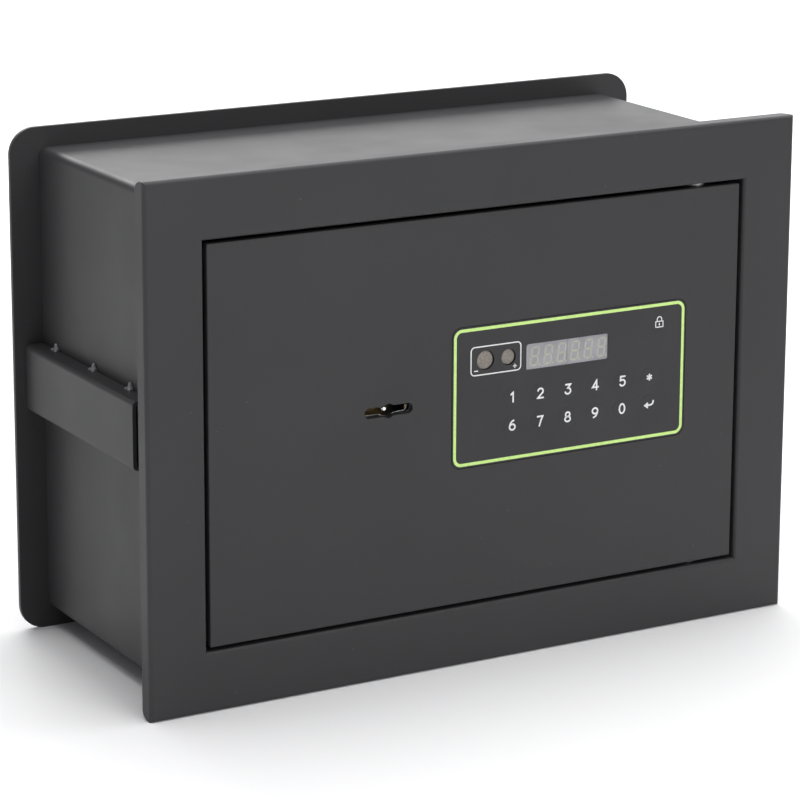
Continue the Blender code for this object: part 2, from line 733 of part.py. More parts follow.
def door_pan(door):
    pan = block(PAN_X, (ON_DOOR, PAN_BACK), PAN_Z)
    round_edges(pan, 1, PAN_FOLD)
    made = part("door_pan", pan, GRAPHITE, door)
    inner = block((PAN_X[0] + PAN_SHEET, PAN_X[1] - PAN_SHEET), (ON_DOOR - MM, PAN_BACK + MM),
                  (PAN_Z[0] + PAN_SHEET, PAN_Z[1] - PAN_SHEET))
    boolean(made, round_edges(inner, 1, PAN_FOLD - PAN_SHEET))
    hole_x = (PAN_X[0] - PAN_SHEET, PAN_X[0] + 2 * PAN_SHEET)
    for number, level in enumerate(BOLT_Z):
        hole = rod(BOLT_DIAMETER / 2 + GAP, (hole_x[0], BOLT_Y, level), (hole_x[1], BOLT_Y, level))
        boolean(made, hole, name=f"bolt_hole_{number}")
    radius = POST_DIAMETER / 2
    for number, (x, z) in enumerate(post_places(), 1):
        boolean(made, rod(radius, (x, ON_DOOR, z), (x, PAN_BACK, z), 16), "UNION", f"post_{number}")
        bore = rod(SCREW_DIAMETER / 2 + GAP, (x, PAN_BACK - 2 * SCREW_REACH, z), (x, PAN_BACK + MM, z), 12)
        boolean(made, bore, name=f"post_bore_{number}")


def post_places():
    inset = PAN_SHEET + POST_DIAMETER / 2 - POST_WELD
    across = (PAN_X[0] + inset, PAN_X[1] - inset)
    up = (PAN_Z[0] + inset, PAN_Z[1] - inset)
    return [(x, z) for x in across for z in up]


def inner_cover(door):
    plate = block((PAN_X[0] - COVER_LAP, PAN_X[1] + COVER_LAP), (COVER_FRONT, COVER_BACK),
                  (PAN_Z[0] - COVER_LAP, PAN_Z[1] + COVER_LAP))
    made = part("inner_cover", round_edges(plate, 1, PAN_FOLD + COVER_LAP), GRAPHITE, door)
    depth = (COVER_FRONT - MM, COVER_BACK + MM)
    mouth = block((HOLDER_X[0] + HOLDER_WALL, HOLDER_X[1] - HOLDER_WALL), depth,
                  (HOLDER_Z[0] + HOLDER_WALL, HOLDER_Z[1] - HOLDER_WALL))
    boolean(made, mouth, name="battery_mouth")
    x, z = reset_place()
    boolean(made, rod(RESET_DIAMETER / 2 + GAP, (x, depth[0], z), (x, depth[1], z)), name="reset_hole")
    holes = [rod(SCREW_DIAMETER / 2 + GAP, (x, depth[0], z), (x, depth[1], z), 12) for x, z in post_places()]
    boolean(made, merged(holes), name="screw_holes")


def cover_screws(door):
    seat = COVER_BACK + GAP
    thread = SCREW_DIAMETER / 2
    head = SCREW_HEAD_DIAMETER / 2
    profile = [
        (0.0, SCREW_HEAD),
        (head - SCREW_HEAD_CHAMFER, SCREW_HEAD),
        (head, SCREW_HEAD - SCREW_HEAD_CHAMFER),
        (head, 0.0),
        (thread, 0.0),
        (thread, -SCREW_REACH),
        (0.0, -SCREW_REACH),
    ]
    top = seat + SCREW_HEAD
    drive = (top - SCREW_DRIVE_DEPTH, top + MM)
    for number, (x, z) in enumerate(post_places(), 1):
        made = turned(f"cover_screw_{number}", profile, STEEL, (x, seat, z), (0, 1, 0), door, sides=16)
        socket = rod(SCREW_DRIVE_DIAMETER / 2, (x, drive[0], z), (x, drive[1], z), 6)
        boolean(made, socket, name="drive")


# --- keypad ------------------------------------------------------------------------------


def contact_level():
    return KEYPAD_BOTTOM + CONTACT_Z


def contacts():
    return (
        ("battery_contact_negative", KEYPAD_LEFT + NEGATIVE_X, NEGATIVE_DIAMETER),
        ("battery_contact_positive", KEYPAD_LEFT + POSITIVE_X, POSITIVE_DIAMETER),
    )


def key_places():
    """(name, x, z) of each key, row by row."""
    names = ("key_1", "key_2", "key_3", "key_4", "key_5", "key_star",
             "key_6", "key_7", "key_8", "key_9", "key_0", "key_enter")
    places = []
    for number, name in enumerate(names):
        row, column = divmod(number, KEY_COLUMNS)
        x = KEYPAD_LEFT + FIRST_KEY_X + KEY_PITCH_X * column
        places.append((name, x, KEYPAD_BOTTOM + FIRST_KEY_Z - KEY_PITCH_Z * row))
    return places


def display_block(depth, grow=0.0, split=None):
    """The display's rounded rectangle, grown all round, or one half of it when split is -1 or 1."""
    middle = KEYPAD_LEFT + DISPLAY_X
    x = [middle - DISPLAY_WIDTH / 2 - grow, middle + DISPLAY_WIDTH / 2 + grow]
    if split is not None:
        x[split < 0] = middle + split * GAP / 3
    level = KEYPAD_BOTTOM + DISPLAY_Z
    z = (level - DISPLAY_HEIGHT / 2 - grow, level + DISPLAY_HEIGHT / 2 + grow)
    mesh = block(x, depth, z)
    if split is None:
        round_edges(mesh, 1, DISPLAY_CORNER + grow)
    return mesh


def keypad_overlay(door):
    film = block((KEYPAD_LEFT, KEYPAD_RIGHT), (DOOR_FRONT, FILM_BACK), (KEYPAD_BOTTOM, KEYPAD_TOP))
    round_edges(film, 1, KEYPAD_CORNER, segments=6)
    made = part("keypad_overlay", film, FILM_BLACK, door)
    depth = (DOOR_FRONT - MM, FILM_BACK + MM)
    radius = KEY_DIAMETER / 2 + GAP
    level = contact_level()
    holes = [rod(radius, (x, depth[0], z), (x, depth[1], z), 20) for _, x, z in key_places()]
    for _, x, diameter in contacts():
        holes.append(rod(diameter / 2 + GAP, (x, depth[0], level), (x, depth[1], level)))
    boolean(made, merged(holes), name="holes")
    boolean(made, display_block(depth), name="display")


def display_parts(door):
    window = display_block((DOOR_FRONT + WINDOW_SINK, FILM_BACK), -0.5 * GAP)
    part("display_window", window, CLEAR, door)
    front = POCKET_FLOOR - MODULE_PROUD
    for name, side in (("display_module_left", -1), ("display_module_right", 1)):
        module = display_block((front, front + MODULE_DEPTH), -GAP, split=side)
        part(name, module, DISPLAY_GREY, door)


def battery_contacts(door):
    face = DOOR_FRONT + CONTACT_SINK
    stem = CONTACT_STEM_DIAMETER / 2
    for name, x, diameter in contacts():
        radius = diameter / 2
        profile = [
            (0.0, 0.0),
            (radius - CONTACT_EDGE, 0.0),
            (radius, -CONTACT_EDGE),
            (radius, -CONTACT_THICKNESS),
            (stem, -CONTACT_THICKNESS),
            (stem, face - BOARD_FRONT + GAP),
            (0.0, face - BOARD_FRONT + GAP),
        ]
        turned(name, profile, BRONZE, (x, face, contact_level()), (0, -1, 0), door)


def circuit_board(door):
    """The board with its parts soldered on: push switches in front, the reset switch and chips behind."""
    board = block((KEYPAD_LEFT + BOARD_MARGIN, KEYPAD_RIGHT - BOARD_MARGIN), (BOARD_FRONT, BOARD_BACK),
                  (KEYPAD_BOTTOM + BOARD_MARGIN, KEYPAD_TOP - BOARD_MARGIN))
    made = part("circuit_board", board, BOARD_GREEN, door)
    sink = BOARD_FRONT + SOLDER_SINK
    switches = []
    plungers = []
    for _, x, z in key_places():
        switches.append(board_block(x, z, SWITCH_BODY, SWITCH_BODY, (SWITCH_FRONT, sink)))
        tip = (x, PLUNGER_TIP, z)
        plungers.append(rod(PLUNGER_DIAMETER / 2, tip, (x, SWITCH_FRONT + PLUNGER, z), 12))
    boolean(made, merged(switches), "UNION", "switches")
    boolean(made, merged(plungers), "UNION", "plungers")
    middle = (KEYPAD_LEFT + KEYPAD_RIGHT) / 2
    level = KEYPAD_TOP - COMPONENTS_FROM_TOP
    sink = BOARD_BACK - SOLDER_SINK
    reset_x, reset_z = reset_place()
    socket_x = KEYPAD_LEFT + SOCKET_FROM_LEFT + SOCKET_WIDTH / 2
    socket_z = MID_Z + SOCKET_HEIGHT / 2
    buzzer_x = middle + BUZZER_FROM_MIDDLE
    behind = [
        board_block(middle, level, CHIP_WIDTH, CHIP_HEIGHT, (sink, BOARD_BACK + CHIP_DEPTH)),
        board_block(socket_x, socket_z, SOCKET_WIDTH, SOCKET_HEIGHT, (sink, BOARD_BACK + SOCKET_DEPTH)),
        board_block(reset_x, reset_z, SWITCH_BODY, SWITCH_BODY, (sink, BOARD_BACK + RESET_SWITCH)),
        rod(BUZZER_DIAMETER / 2, (buzzer_x, sink, level), (buzzer_x, BOARD_BACK + BUZZER_DEPTH, level)),
    ]
    boolean(made, merged(behind), "UNION", "components")


def board_block(x, z, width, height, depth):
    """A part's body on the board, centred on (x, z)."""
    return block((x - width / 2, x + width / 2), depth, (z - height / 2, z + height / 2))


def keys(door):
    """Each key is a shallow dome on a stem, and its empty sits on its line of travel."""
    radius = KEY_DIAMETER / 2
    stem = KEY_STEM_DIAMETER / 2
    dome = [(radius * share, KEY_DOME * (1 - share * share)) for share in (0.0, 0.5, 0.85)]
    profile = dome + [
        (radius, 0.0),
        (radius, -KEY_THICKNESS),
        (stem, -KEY_THICKNESS),
        (stem, -KEY_STEM_END),
        (0.0, -KEY_STEM_END),
    ]
    for name, x, z in key_places():
        slide = body_empty(f"{name}_slide", (x, DOOR_FRONT, z), door)
        turned(name, profile, FILM_BLACK, (x, DOOR_FRONT, z), (0, -1, 0), slide, sides=18)


# --- boltwork ------------------------------------------------------------------------------


def bolts(slide):
    radius = BOLT_DIAMETER / 2
    profile = [
        (0.0, BOLT_LENGTH),
        (radius - BOLT_CHAMFER, BOLT_LENGTH),
        (radius, BOLT_LENGTH - BOLT_CHAMFER),
        (radius, 0.0),
        (0.0, 0.0),
    ]
    for name, level in zip(("bolt_lower", "bolt_upper"), BOLT_Z):
        turned(name, profile, CHROME, (BOLT_HEEL, BOLT_Y, level), (-1, 0, 0), slide, sides=28)


def guide_places():
    """(x, z) of each guide pin, at the heel end of its slot while the bolts are drawn back."""
    lower = sum(LOWER_ARM_Z) / 2
    upper = sum(UPPER_ARM_Z) / 2
    return (
        (FLANGE_X[0] + GUIDE_NEAR, lower),
        (FLANGE_X[0] + GUIDE_FAR, lower),
        (FLANGE_X[0] + GUIDE_NEAR, upper),
    )


def bolt_carriage(slide):
    left, right = FLANGE_X
    half = CARRIAGE_FLANGE / 2
    flange_z = (BOLT_Z[0] - FLANGE_PAST_BOLT, BOLT_Z[1] + FLANGE_PAST_BOLT)
    flange = block((left, right), (BOLT_Y - half, BOLT_Y + half), flange_z)
    made = part("bolt_carriage", flange, ZINC, slide, origin=(left, BOLT_Y, MID_Z))
    upright = block((right - MM, right + CARRIAGE_WIDTH), CARRIAGE_Y, (LOWER_ARM_Z[0], UPPER_ARM_Z[1]))
    boolean(made, upright, "UNION", "upright")
    boolean(made, block((right, left + LOWER_ARM_LENGTH), CARRIAGE_Y, LOWER_ARM_Z), "UNION", "lower_arm")
    boolean(made, block((right, left + UPPER_ARM_LENGTH), CARRIAGE_Y, UPPER_ARM_Z), "UNION", "upper_arm")
    boolean(made, rack(), "UNION", "rack")
    slots = []
    play = GUIDE_DIAMETER / 2 + SLOT_PLAY
    through = (CARRIAGE_Y[0] - MM, CARRIAGE_Y[1] + MM)
    for x, z in guide_places():
        slot = block((x - play, x + play + BOLT_THROW), through, (z - play, z + play))
        slots.append(round_edges(slot, 1, play * 0.98, segments=3))
    boolean(made, merged(slots), name="slots")


def rack():
    """A straight row of teeth on top of the lower arm, in mesh with the pinion when drawn back."""
    pitch = math.pi * GEAR_MODULE
    half_base = pitch / 4 + 0.20 * GEAR_MODULE
    half_tip = pitch / 4 - 0.45 * GEAR_MODULE
    root = LOWER_ARM_Z[1] + RACK_ROOT
    foot = LOWER_ARM_Z[1] - RACK_SINK
    tip = RACK_PITCH_Z + 0.9 * GEAR_MODULE
    first = PINION_X - pitch * RACK_TEETH_LEFT
    start = first - pitch / 2
    end = start + pitch * RACK_TEETH
    outline = [(start, foot), (start, root)]
    for number in range(RACK_TEETH):
        middle = first + pitch * number
        outline += [(middle - half_base, root), (middle - half_tip, tip)]
        outline += [(middle + half_tip, tip), (middle + half_base, root)]
    outline += [(end, root), (end, foot)]
    return prism(outline, CARRIAGE_Y)


def pinion_outline():
    """A 20 degree involute-like pinion with play in its teeth and a space facing the rack's tooth."""
    pitch_angle = 2 * math.pi / PINION_TEETH
    root = PITCH_RADIUS - 1.15 * GEAR_MODULE
    tip = PITCH_RADIUS + 0.85 * GEAR_MODULE
    flank = (
        (root, 0.34),
        (PITCH_RADIUS - 0.5 * GEAR_MODULE, 0.265),
        (PITCH_RADIUS, 0.215),
        (tip, 0.105),
    )
    rising = [(radius, -share) for radius, share in flank]
    falling = [(radius, share) for radius, share in reversed(flank)]
    outline = []
    for number in range(PINION_TEETH):
        middle = -math.pi / 2 + pitch_angle * (number + 0.5)
        for radius, share in rising + falling:
            angle = middle + share * pitch_angle
            outline.append((PINION_X + radius * math.cos(angle), PINION_Z + radius * math.sin(angle)))
    return outline


def drive_pinion(spin):
    y = (BOLT_Y - PINION_WIDTH / 2, BOLT_Y + PINION_WIDTH / 2)
    gear = prism(pinion_outline(), y)
    made = part("drive_pinion", gear, BRASS, spin, origin=(PINION_X, BOLT_Y, PINION_Z))
    start = (PINION_X, GEARBOX_BACK + GAP, PINION_Z)
    end = (PINION_X, y[1] + PINION_BOSS_PROUD, PINION_Z)
    boolean(made, rod(PINION_BOSS_DIAMETER / 2, start, end), "UNION", "boss")


def gear_motor(door):
    left = PINION_X - GEARBOX_WIDTH / 2
    bottom = PINION_Z - SHAFT_ABOVE_GEARBOX_FOOT
    case = block((left, left + GEARBOX_WIDTH), (ON_DOOR, GEARBOX_BACK), (bottom, bottom + GEARBOX_HEIGHT))
    part("gearbox", round_edges(case, 1, GEARBOX_CORNER), SWITCH_BLACK, door)
    radius = MOTOR_DIAMETER / 2
    boss = MOTOR_BOSS_DIAMETER / 2
    profile = [
        (0.0, MOTOR_LENGTH + MOTOR_BOSS),
        (boss, MOTOR_LENGTH + MOTOR_BOSS),
        (boss, MOTOR_LENGTH),
        (radius - MOTOR_CHAMFER, MOTOR_LENGTH),
        (radius, MOTOR_LENGTH - MOTOR_CHAMFER),
        (radius, 0.0),
        (0.0, 0.0),
    ]
    start = (left + GEARBOX_WIDTH + GAP, ON_DOOR + radius + 2 * RUNNING, bottom + MOTOR_ABOVE_GEARBOX_FOOT)
    turned("drive_motor", profile, STEEL, start, (1, 0, 0), door)


def guide_pins(door):
    """Headed studs on the door that the carriage's slots run on."""
    head = CARRIAGE_Y[1] + GAP - ON_DOOR
    profile = [
        (0.0, head + GUIDE_HEAD),
        (GUIDE_HEAD_DIAMETER / 2, head + GUIDE_HEAD),
        (GUIDE_HEAD_DIAMETER / 2, head),
        (GUIDE_DIAMETER / 2, head),
        (GUIDE_DIAMETER / 2, 0.0),
        (0.0, 0.0),
    ]
    for number, (x, z) in enumerate(guide_places(), 1):
        turned(f"guide_pin_{number}", profile, STEEL, (x, ON_DOOR, z), (0, 1, 0), door)


def limit_switch(door):
    left = FLANGE_X[1] + CARRIAGE_WIDTH + LIMIT_CLEAR_OF_CARRIAGE
    bottom = UPPER_ARM_Z[1] + LIMIT_ABOVE_ARM
    y = (ON_DOOR, ON_DOOR + LIMIT_DEPTH)
    case = block((left, left + LIMIT_WIDTH), y, (bottom, bottom + LIMIT_HEIGHT))
    made = part("limit_switch", case, SWITCH_BLACK, door)
    lever_x = left - LIMIT_LEVER_OVERHANG
    lever_y = (sum(y) - LIMIT_LEVER_WIDTH) / 2
    lever = block((lever_x, lever_x + LIMIT_LEVER), (lever_y, lever_y + LIMIT_LEVER_WIDTH),
                  (bottom - LIMIT_LEVER_DROP, bottom + SOLDER_SINK))
    boolean(made, lever, "UNION", "lever")


# --- emergency key lock ------------------------------------------------------------------


def lock_case(door):
    x = (LOCK_X - LOCK_WIDTH / 2, LOCK_X + LOCK_WIDTH / 2)
    z = (LOCK_Z - LOCK_HEIGHT / 2, LOCK_Z + LOCK_HEIGHT / 2)
    case = round_edges(block(x, (ON_DOOR, LOCK_BACK), z), 1, LOCK_CORNER)
    made = part("lock_case", case, ZINC, door)
    inner = block((x[0] + LOCK_WALL, x[1] - LOCK_WALL), (ON_DOOR - MM, LOCK_BACK - LOCK_WALL),
                  (z[0] + LOCK_WALL, z[1] - LOCK_WALL))
    boolean(made, inner)
    x, z = lever_pivot()
    post = rod(LEVER_POST_DIAMETER / 2, (x, ON_DOOR + STRIP_DEPTH, z), (x, LOCK_BACK - LEVER_POST_SHORT, z))
    boolean(made, post, "UNION", "lever_post")


def key_pin(door):
    back = LOCK_BACK - LOCK_WALL - GAP
    radius = KEY_PIN_DIAMETER / 2
    length = back - ON_DOOR
    profile = [
        (0.0, length),
        (radius - KEY_PIN_CHAMFER, length),
        (radius, length - KEY_PIN_CHAMFER),
        (radius, 0.0),
        (0.0, 0.0),
    ]
    turned("key_pin", profile, CHROME, (LOCK_X, back, LOCK_Z), (0, -1, 0), door)


def key_cam(turn):
    """The piece that the key turns: a disc on the key pin with a finger that throws the carriage."""
    back = LOCK_BACK - LOCK_WALL - 2 * GAP
    y = (back - CAM_THICKNESS, back)
    disc = rod(CAM_DIAMETER / 2, (LOCK_X, y[0], LOCK_Z), (LOCK_X, y[1], LOCK_Z))
    made = part("key_cam", disc, BRASS, turn, origin=(LOCK_X, back, LOCK_Z))
    half = CAM_FINGER_WIDTH / 2
    finger = block((LOCK_X - half, LOCK_X + half), y, (LOCK_Z - CAM_FINGER, LOCK_Z))
    boolean(made, finger, "UNION", "finger")
    radius = KEY_PIN_DIAMETER / 2 + RUNNING
    boolean(made, rod(radius, (LOCK_X, y[0] - MM, LOCK_Z), (LOCK_X, y[1] + MM, LOCK_Z)), name="bore")


def lever_pivot():
    return (LOCK_X - LOCK_WIDTH / 2 + LEVER_POST_INSET, LOCK_Z - LEVER_DROP - LEVER_HEIGHT / 2)


def lock_levers(swing):
    """Three lever plates on one bush, which turns on the case's post."""
    pivot_x, pivot_z = lever_pivot()
    half = LEVER_HEIGHT / 2
    x = (pivot_x - half, LOCK_X + LOCK_WIDTH / 2 - LEVER_FREE_END_INSET)
    first = ON_DOOR + STRIP_DEPTH + LEVERS_BEHIND_STRIP
    last = first + LEVER_PITCH * (LEVER_COUNT - 1) + LEVER_THICKNESS
    plates = []
    for number in range(LEVER_COUNT):
        front = first + LEVER_PITCH * number
        plate = block(x, (front, front + LEVER_THICKNESS), (pivot_z - half, pivot_z + half))
        plates.append(round_edges(plate, 1, LEVER_HEIGHT * 0.45, segments=3))
    made = part("lock_levers", merged(plates), BRASS, swing)
    bush = rod(LEVER_BUSH_DIAMETER / 2, (pivot_x, first, pivot_z), (pivot_x, last, pivot_z))
    boolean(made, bush, "UNION", "bush")
    radius = LEVER_POST_DIAMETER / 2 + RUNNING
    boolean(made, rod(radius, (pivot_x, ON_DOOR, pivot_z), (pivot_x, LOCK_BACK, pivot_z)))


def strip_route():
    """(x, z) along the lever spring's top face: flat, a dip beside the key pin, and an upturned end."""
    level = LOCK_Z - STRIP_DROP
    middle = LOCK_X + STRIP_SHIFT
    return [
        (middle - 20 * MM, level + 0.3 * MM),
        (middle - 4.9 * MM, level),
        (middle - 3.8 * MM, level - 0.6 * MM),
        (middle - 2.2 * MM, level - 1.3 * MM),
        (middle - 0.3 * MM, level - 1.3 * MM),
        (middle + 0.9 * MM, level - 0.75 * MM),
        (middle + 2.2 * MM, level),
        (middle + 7.9 * MM, level + 0.4 * MM),
        (middle + 8.7 * MM, level + 0.9 * MM),
        (middle + 9.2 * MM, level + 2.9 * MM),
    ]


def lever_spring(door):
    mesh = bmesh.new()
    front = ON_DOOR + GAP
    back = ON_DOOR + STRIP_DEPTH - GAP
    rows = [(mesh.verts.new((x, front, z)), mesh.verts.new((x, back, z))) for x, z in strip_route()]
    for first, second in zip(rows, rows[1:]):
        mesh.faces.new((first[0], second[0], second[1], first[1]))
    made = part("lever_spring", mesh, CHROME, door)
    solidify(made, STRIP_THICKNESS, -1)


# --- batteries and small parts -----------------------------------------------------------


def battery_box(door):
    box = block(HOLDER_X, (HOLDER_FRONT, COVER_FRONT - GAP), HOLDER_Z)
    made = part("battery_box", box, SWITCH_BLACK, door)
    inner = block((HOLDER_X[0] + HOLDER_WALL, HOLDER_X[1] - HOLDER_WALL),
                  (HOLDER_FRONT + HOLDER_WALL, COVER_FRONT + MM),
                  (HOLDER_Z[0] + HOLDER_WALL, HOLDER_Z[1] - HOLDER_WALL))
    boolean(made, inner)


def battery_pack(door):
    """Four cells taped side by side, turned end for end."""
    middle = sum(HOLDER_X) / 2
    y = HOLDER_FRONT + HOLDER_WALL + GAP + CELL_DIAMETER / 2
    start = sum(HOLDER_Z) / 2 - CELL_PITCH * (CELL_COUNT - 1) / 2
    cells = []
    tips = []
    for number in range(CELL_COUNT):
        z = start + CELL_PITCH * number
        way = 1 if number % 2 else -1
        end = middle + way * CELL_LENGTH / 2
        cells.append(rod(CELL_DIAMETER / 2, (middle - way * CELL_LENGTH / 2, y, z), (end, y, z)))
        sunk = (end - way * MM, y, z)
        tips.append(rod(CELL_TIP_DIAMETER / 2, sunk, (end + way * CELL_TIP, y, z), 16))
    made = part("battery_pack", cells.pop(0), BRONZE, door, smooth=True)
    for number, cell in enumerate(cells):
        boolean(made, cell, "UNION", f"cell_{number}")
    boolean(made, merged(tips), "UNION", "tips")


def battery_lid(slide):
    x = (HOLDER_X[0] - LID_LAP, HOLDER_X[1] + LID_LAP)
    z = (HOLDER_Z[0] - LID_LAP, HOLDER_Z[1] + LID_LAP)
    back = COVER_BACK + GAP
    lid = block(x, (back, back + LID_THICKNESS), z)
    made = part("battery_lid", round_edges(lid, 1, LID_CORNER), SWITCH_BLACK, slide)
    rib_y = (back + LID_THICKNESS / 2, back + LID_THICKNESS + LID_RIB_PROUD)
    rib_z = (z[0] + LID_RIB_FROM_END, z[1] - LID_RIB_FROM_END)
    ribs = []
    for number in range(LID_RIBS):
        left = x[0] + LID_FIRST_RIB + LID_RIB_PITCH * number
        ribs.append(block((left, left + LID_RIB_WIDTH), rib_y, rib_z))
    boolean(made, merged(ribs), "UNION", "ribs")


def reset_place():
    return (KEYPAD_RIGHT - RESET_FROM_RIGHT, KEYPAD_TOP - RESET_FROM_TOP)


def reset_button(slide):
    """A button through the cover whose stem reaches a switch on the board."""
    x, z = reset_place()
    radius = RESET_DIAMETER / 2
    reach = COVER_BACK - BOARD_BACK - RESET_SWITCH - RESET_TRAVEL - GAP
    profile = [
        (0.0, RESET_PROUD),
        (radius - RESET_EDGE, RESET_PROUD),
        (radius, RESET_PROUD - RESET_EDGE),
        (radius, -RESET_SKIRT),
        (RESET_STEM / 2, -RESET_SKIRT),
        (RESET_STEM / 2, -reach),
        (0.0, -reach),
    ]
    turned("reset_button", profile, RED, (x, COVER_BACK, z), (0, 1, 0), slide)


def smooth_route(points):
    """A smooth curve through a few points; short steps beside long ones don't make it swing out."""
    places = [Vector(point) for point in points]
    slopes = [places[1] - places[0]]
    for before, here, after in zip(places, places[1:], places[2:]):
        reach = min((here - before).length, (after - here).length)
        slopes.append((after - before).normalized() * reach)
    slopes.append(places[-1] - places[-2])
    route = []
    for i in range(len(places) - 1):
        for step in range(LEAD_STEPS):
            t = step / LEAD_STEPS
            ease = t * t * (3 - 2 * t)
            place = places[i].lerp(places[i + 1], ease)
            route.append(place + slopes[i] * t * (1 - t) ** 2 - slopes[i + 1] * t * t * (1 - t))
    return route + [places[-1]]


def lead(name, points, material, door):
    """A lead along a smooth curve through a few points, as a closed tube."""
    route = smooth_route(points)
    data = bpy.data.curves.new(name, "CURVE")
    data.dimensions = "3D"
    data.bevel_depth = LEAD_DIAMETER / 2
    data.bevel_resolution = 2
    data.use_fill_caps = True
    spline = data.splines.new("POLY")
    spline.points.add(len(route) - 1)
    for point, place in zip(spline.points, route):
        point.co = (*place, 1.0)
    made = bpy.data.objects.new(name, data)
    PARTS.objects.link(made)
    data.materials.append(material)
    ride(made, door)


def wiring(door):
    """The two leads, each from the board's socket: points chosen by hand, tied to what they join."""
    layer = BOARD_BACK + 5.5 * MM
    motor_end = PINION_X + GEARBOX_WIDTH / 2 + MOTOR_LENGTH + MOTOR_BOSS + LEAD_TO_SOCKET
    motor_z = PINION_Z + MOTOR_ABOVE_GEARBOX_FOOT - SHAFT_ABOVE_GEARBOX_FOOT
    start = KEYPAD_LEFT + SOCKET_FROM_LEFT - LEAD_TO_SOCKET
    motor_route = [
        (start, BOARD_BACK + 2 * MM, MID_Z + 3 * MM),
        (start - 5 * MM, BOARD_BACK + 2.5 * MM, MID_Z - 4 * MM),
        (start - 8 * MM, BOARD_BACK + 3.5 * MM, MID_Z - 20 * MM),
        (start - 9 * MM, layer, motor_z + 6 * MM),
        (motor_end + 6 * MM, layer, motor_z - 1 * MM),
        (motor_end + 1 * MM, layer, motor_z),
    ]
    lead("motor_lead", motor_route, SWITCH_BLACK, door)
    box_left = HOLDER_X[0]
    box_top = HOLDER_Z[1]
    battery_route = [
        (start + 5 * MM, BOARD_BACK + 2 * MM, MID_Z - 1.5 * MM),
        (start + 5 * MM, BOARD_BACK + 3 * MM, MID_Z - 10 * MM),
        (start + 10 * MM, layer, box_top - 6 * MM),
        (start + 24 * MM, layer + 2 * MM, box_top - 16 * MM),
        (box_left - 8 * MM, layer + 4 * MM, box_top - 18 * MM),
        (box_left - 1 * MM, layer + 4 * MM, box_top - 18 * MM),
    ]
    lead("battery_lead", battery_route, RED, door)


# --- assembly ------------------------------------------------------------------------------

clear_scene()
PARTS = new_collection(COLLECTION_NAME)
CUTTERS = new_collection(f"{COLLECTION_NAME}_cutters")
CUTTERS.hide_render = True
WORLD_PLACE = {}

GRAPHITE = finish("graphite_powder_coat", (0.058, 0.058, 0.062), 0.5)
FILM_BLACK = finish("keypad_film", (0.045, 0.045, 0.05), 0.4)
STEEL = finish("plated_steel", (0.55, 0.55, 0.56), 0.35, 1.0)
CHROME = finish("bright_steel", (0.8, 0.8, 0.8), 0.15, 1.0)
ZINC = finish("zinc_plate", (0.6, 0.6, 0.58), 0.4, 1.0)
BRASS = finish("brass", (0.75, 0.58, 0.3), 0.3, 1.0)
BRONZE = finish("contact_metal", (0.3, 0.25, 0.2), 0.4, 0.8)
DISPLAY_GREY = finish("display_grey", (0.35, 0.35, 0.33), 0.4)
CLEAR = finish("clear_window", (0.8, 0.8, 0.8), 0.1)
BOARD_GREEN = finish("board_green", (0.03, 0.18, 0.07), 0.4)
SWITCH_BLACK = finish("black_plastic", (0.03, 0.03, 0.03), 0.45)
RED = finish("red_plastic", (0.55, 0.03, 0.03), 0.4)
FELT = finish("grey_felt", (0.09, 0.09, 0.1), 0.95)

body_shell()
rear_plate()
front_frame()
anchor_channel("anchor_channel_left", -1)
anchor_channel("anchor_channel_right", 1)
floor_mat()
hinge_pin("hinge_pin_upper", 1)
hinge_pin("hinge_pin_lower", -1)
hinge_washer("hinge_washer_upper", 1)
hinge_washer("hinge_washer_lower", -1)

DOOR = body_empty("door_hinge", (PIVOT_X, PIVOT_Y, MID_Z))
hinge_lug("hinge_lug_upper", 1, DOOR)
hinge_lug("hinge_lug_lower", -1, DOOR)
door_plate(DOOR)
door_pan(DOOR)
inner_cover(DOOR)
cover_screws(DOOR)
keypad_overlay(DOOR)
display_parts(DOOR)
battery_contacts(DOOR)
circuit_board(DOOR)
keys(DOOR)
gear_motor(DOOR)
guide_pins(DOOR)
limit_switch(DOOR)
lock_case(DOOR)
key_pin(DOOR)
lever_spring(DOOR)
battery_box(DOOR)
battery_pack(DOOR)
wiring(DOOR)

BOLT_SLIDE = body_empty("bolt_slide", (FLANGE_X[0], BOLT_Y, MID_Z), DOOR)
bolts(BOLT_SLIDE)
bolt_carriage(BOLT_SLIDE)
PINION_SPIN = body_empty("pinion_spin", (PINION_X, BOLT_Y, PINION_Z), DOOR)
drive_pinion(PINION_SPIN)
CAM_TURN = body_empty("cam_turn", (LOCK_X, LOCK_BACK, LOCK_Z), DOOR)
key_cam(CAM_TURN)
LEVER_SWING = body_empty("lever_swing", (lever_pivot()[0], LOCK_BACK, lever_pivot()[1]), DOOR)
lock_levers(LEVER_SWING)
LID_SLIDE = body_empty("lid_slide", (HOLDER_X[0], COVER_BACK, sum(HOLDER_Z) / 2), DOOR)
battery_lid(LID_SLIDE)
RESET_SLIDE = body_empty("reset_slide", (reset_place()[0], COVER_BACK, reset_place()[1]), DOOR)
reset_button(RESET_SLIDE)
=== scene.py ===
import json
import math
import random

import bmesh
import bpy
from mathutils import Matrix, Vector


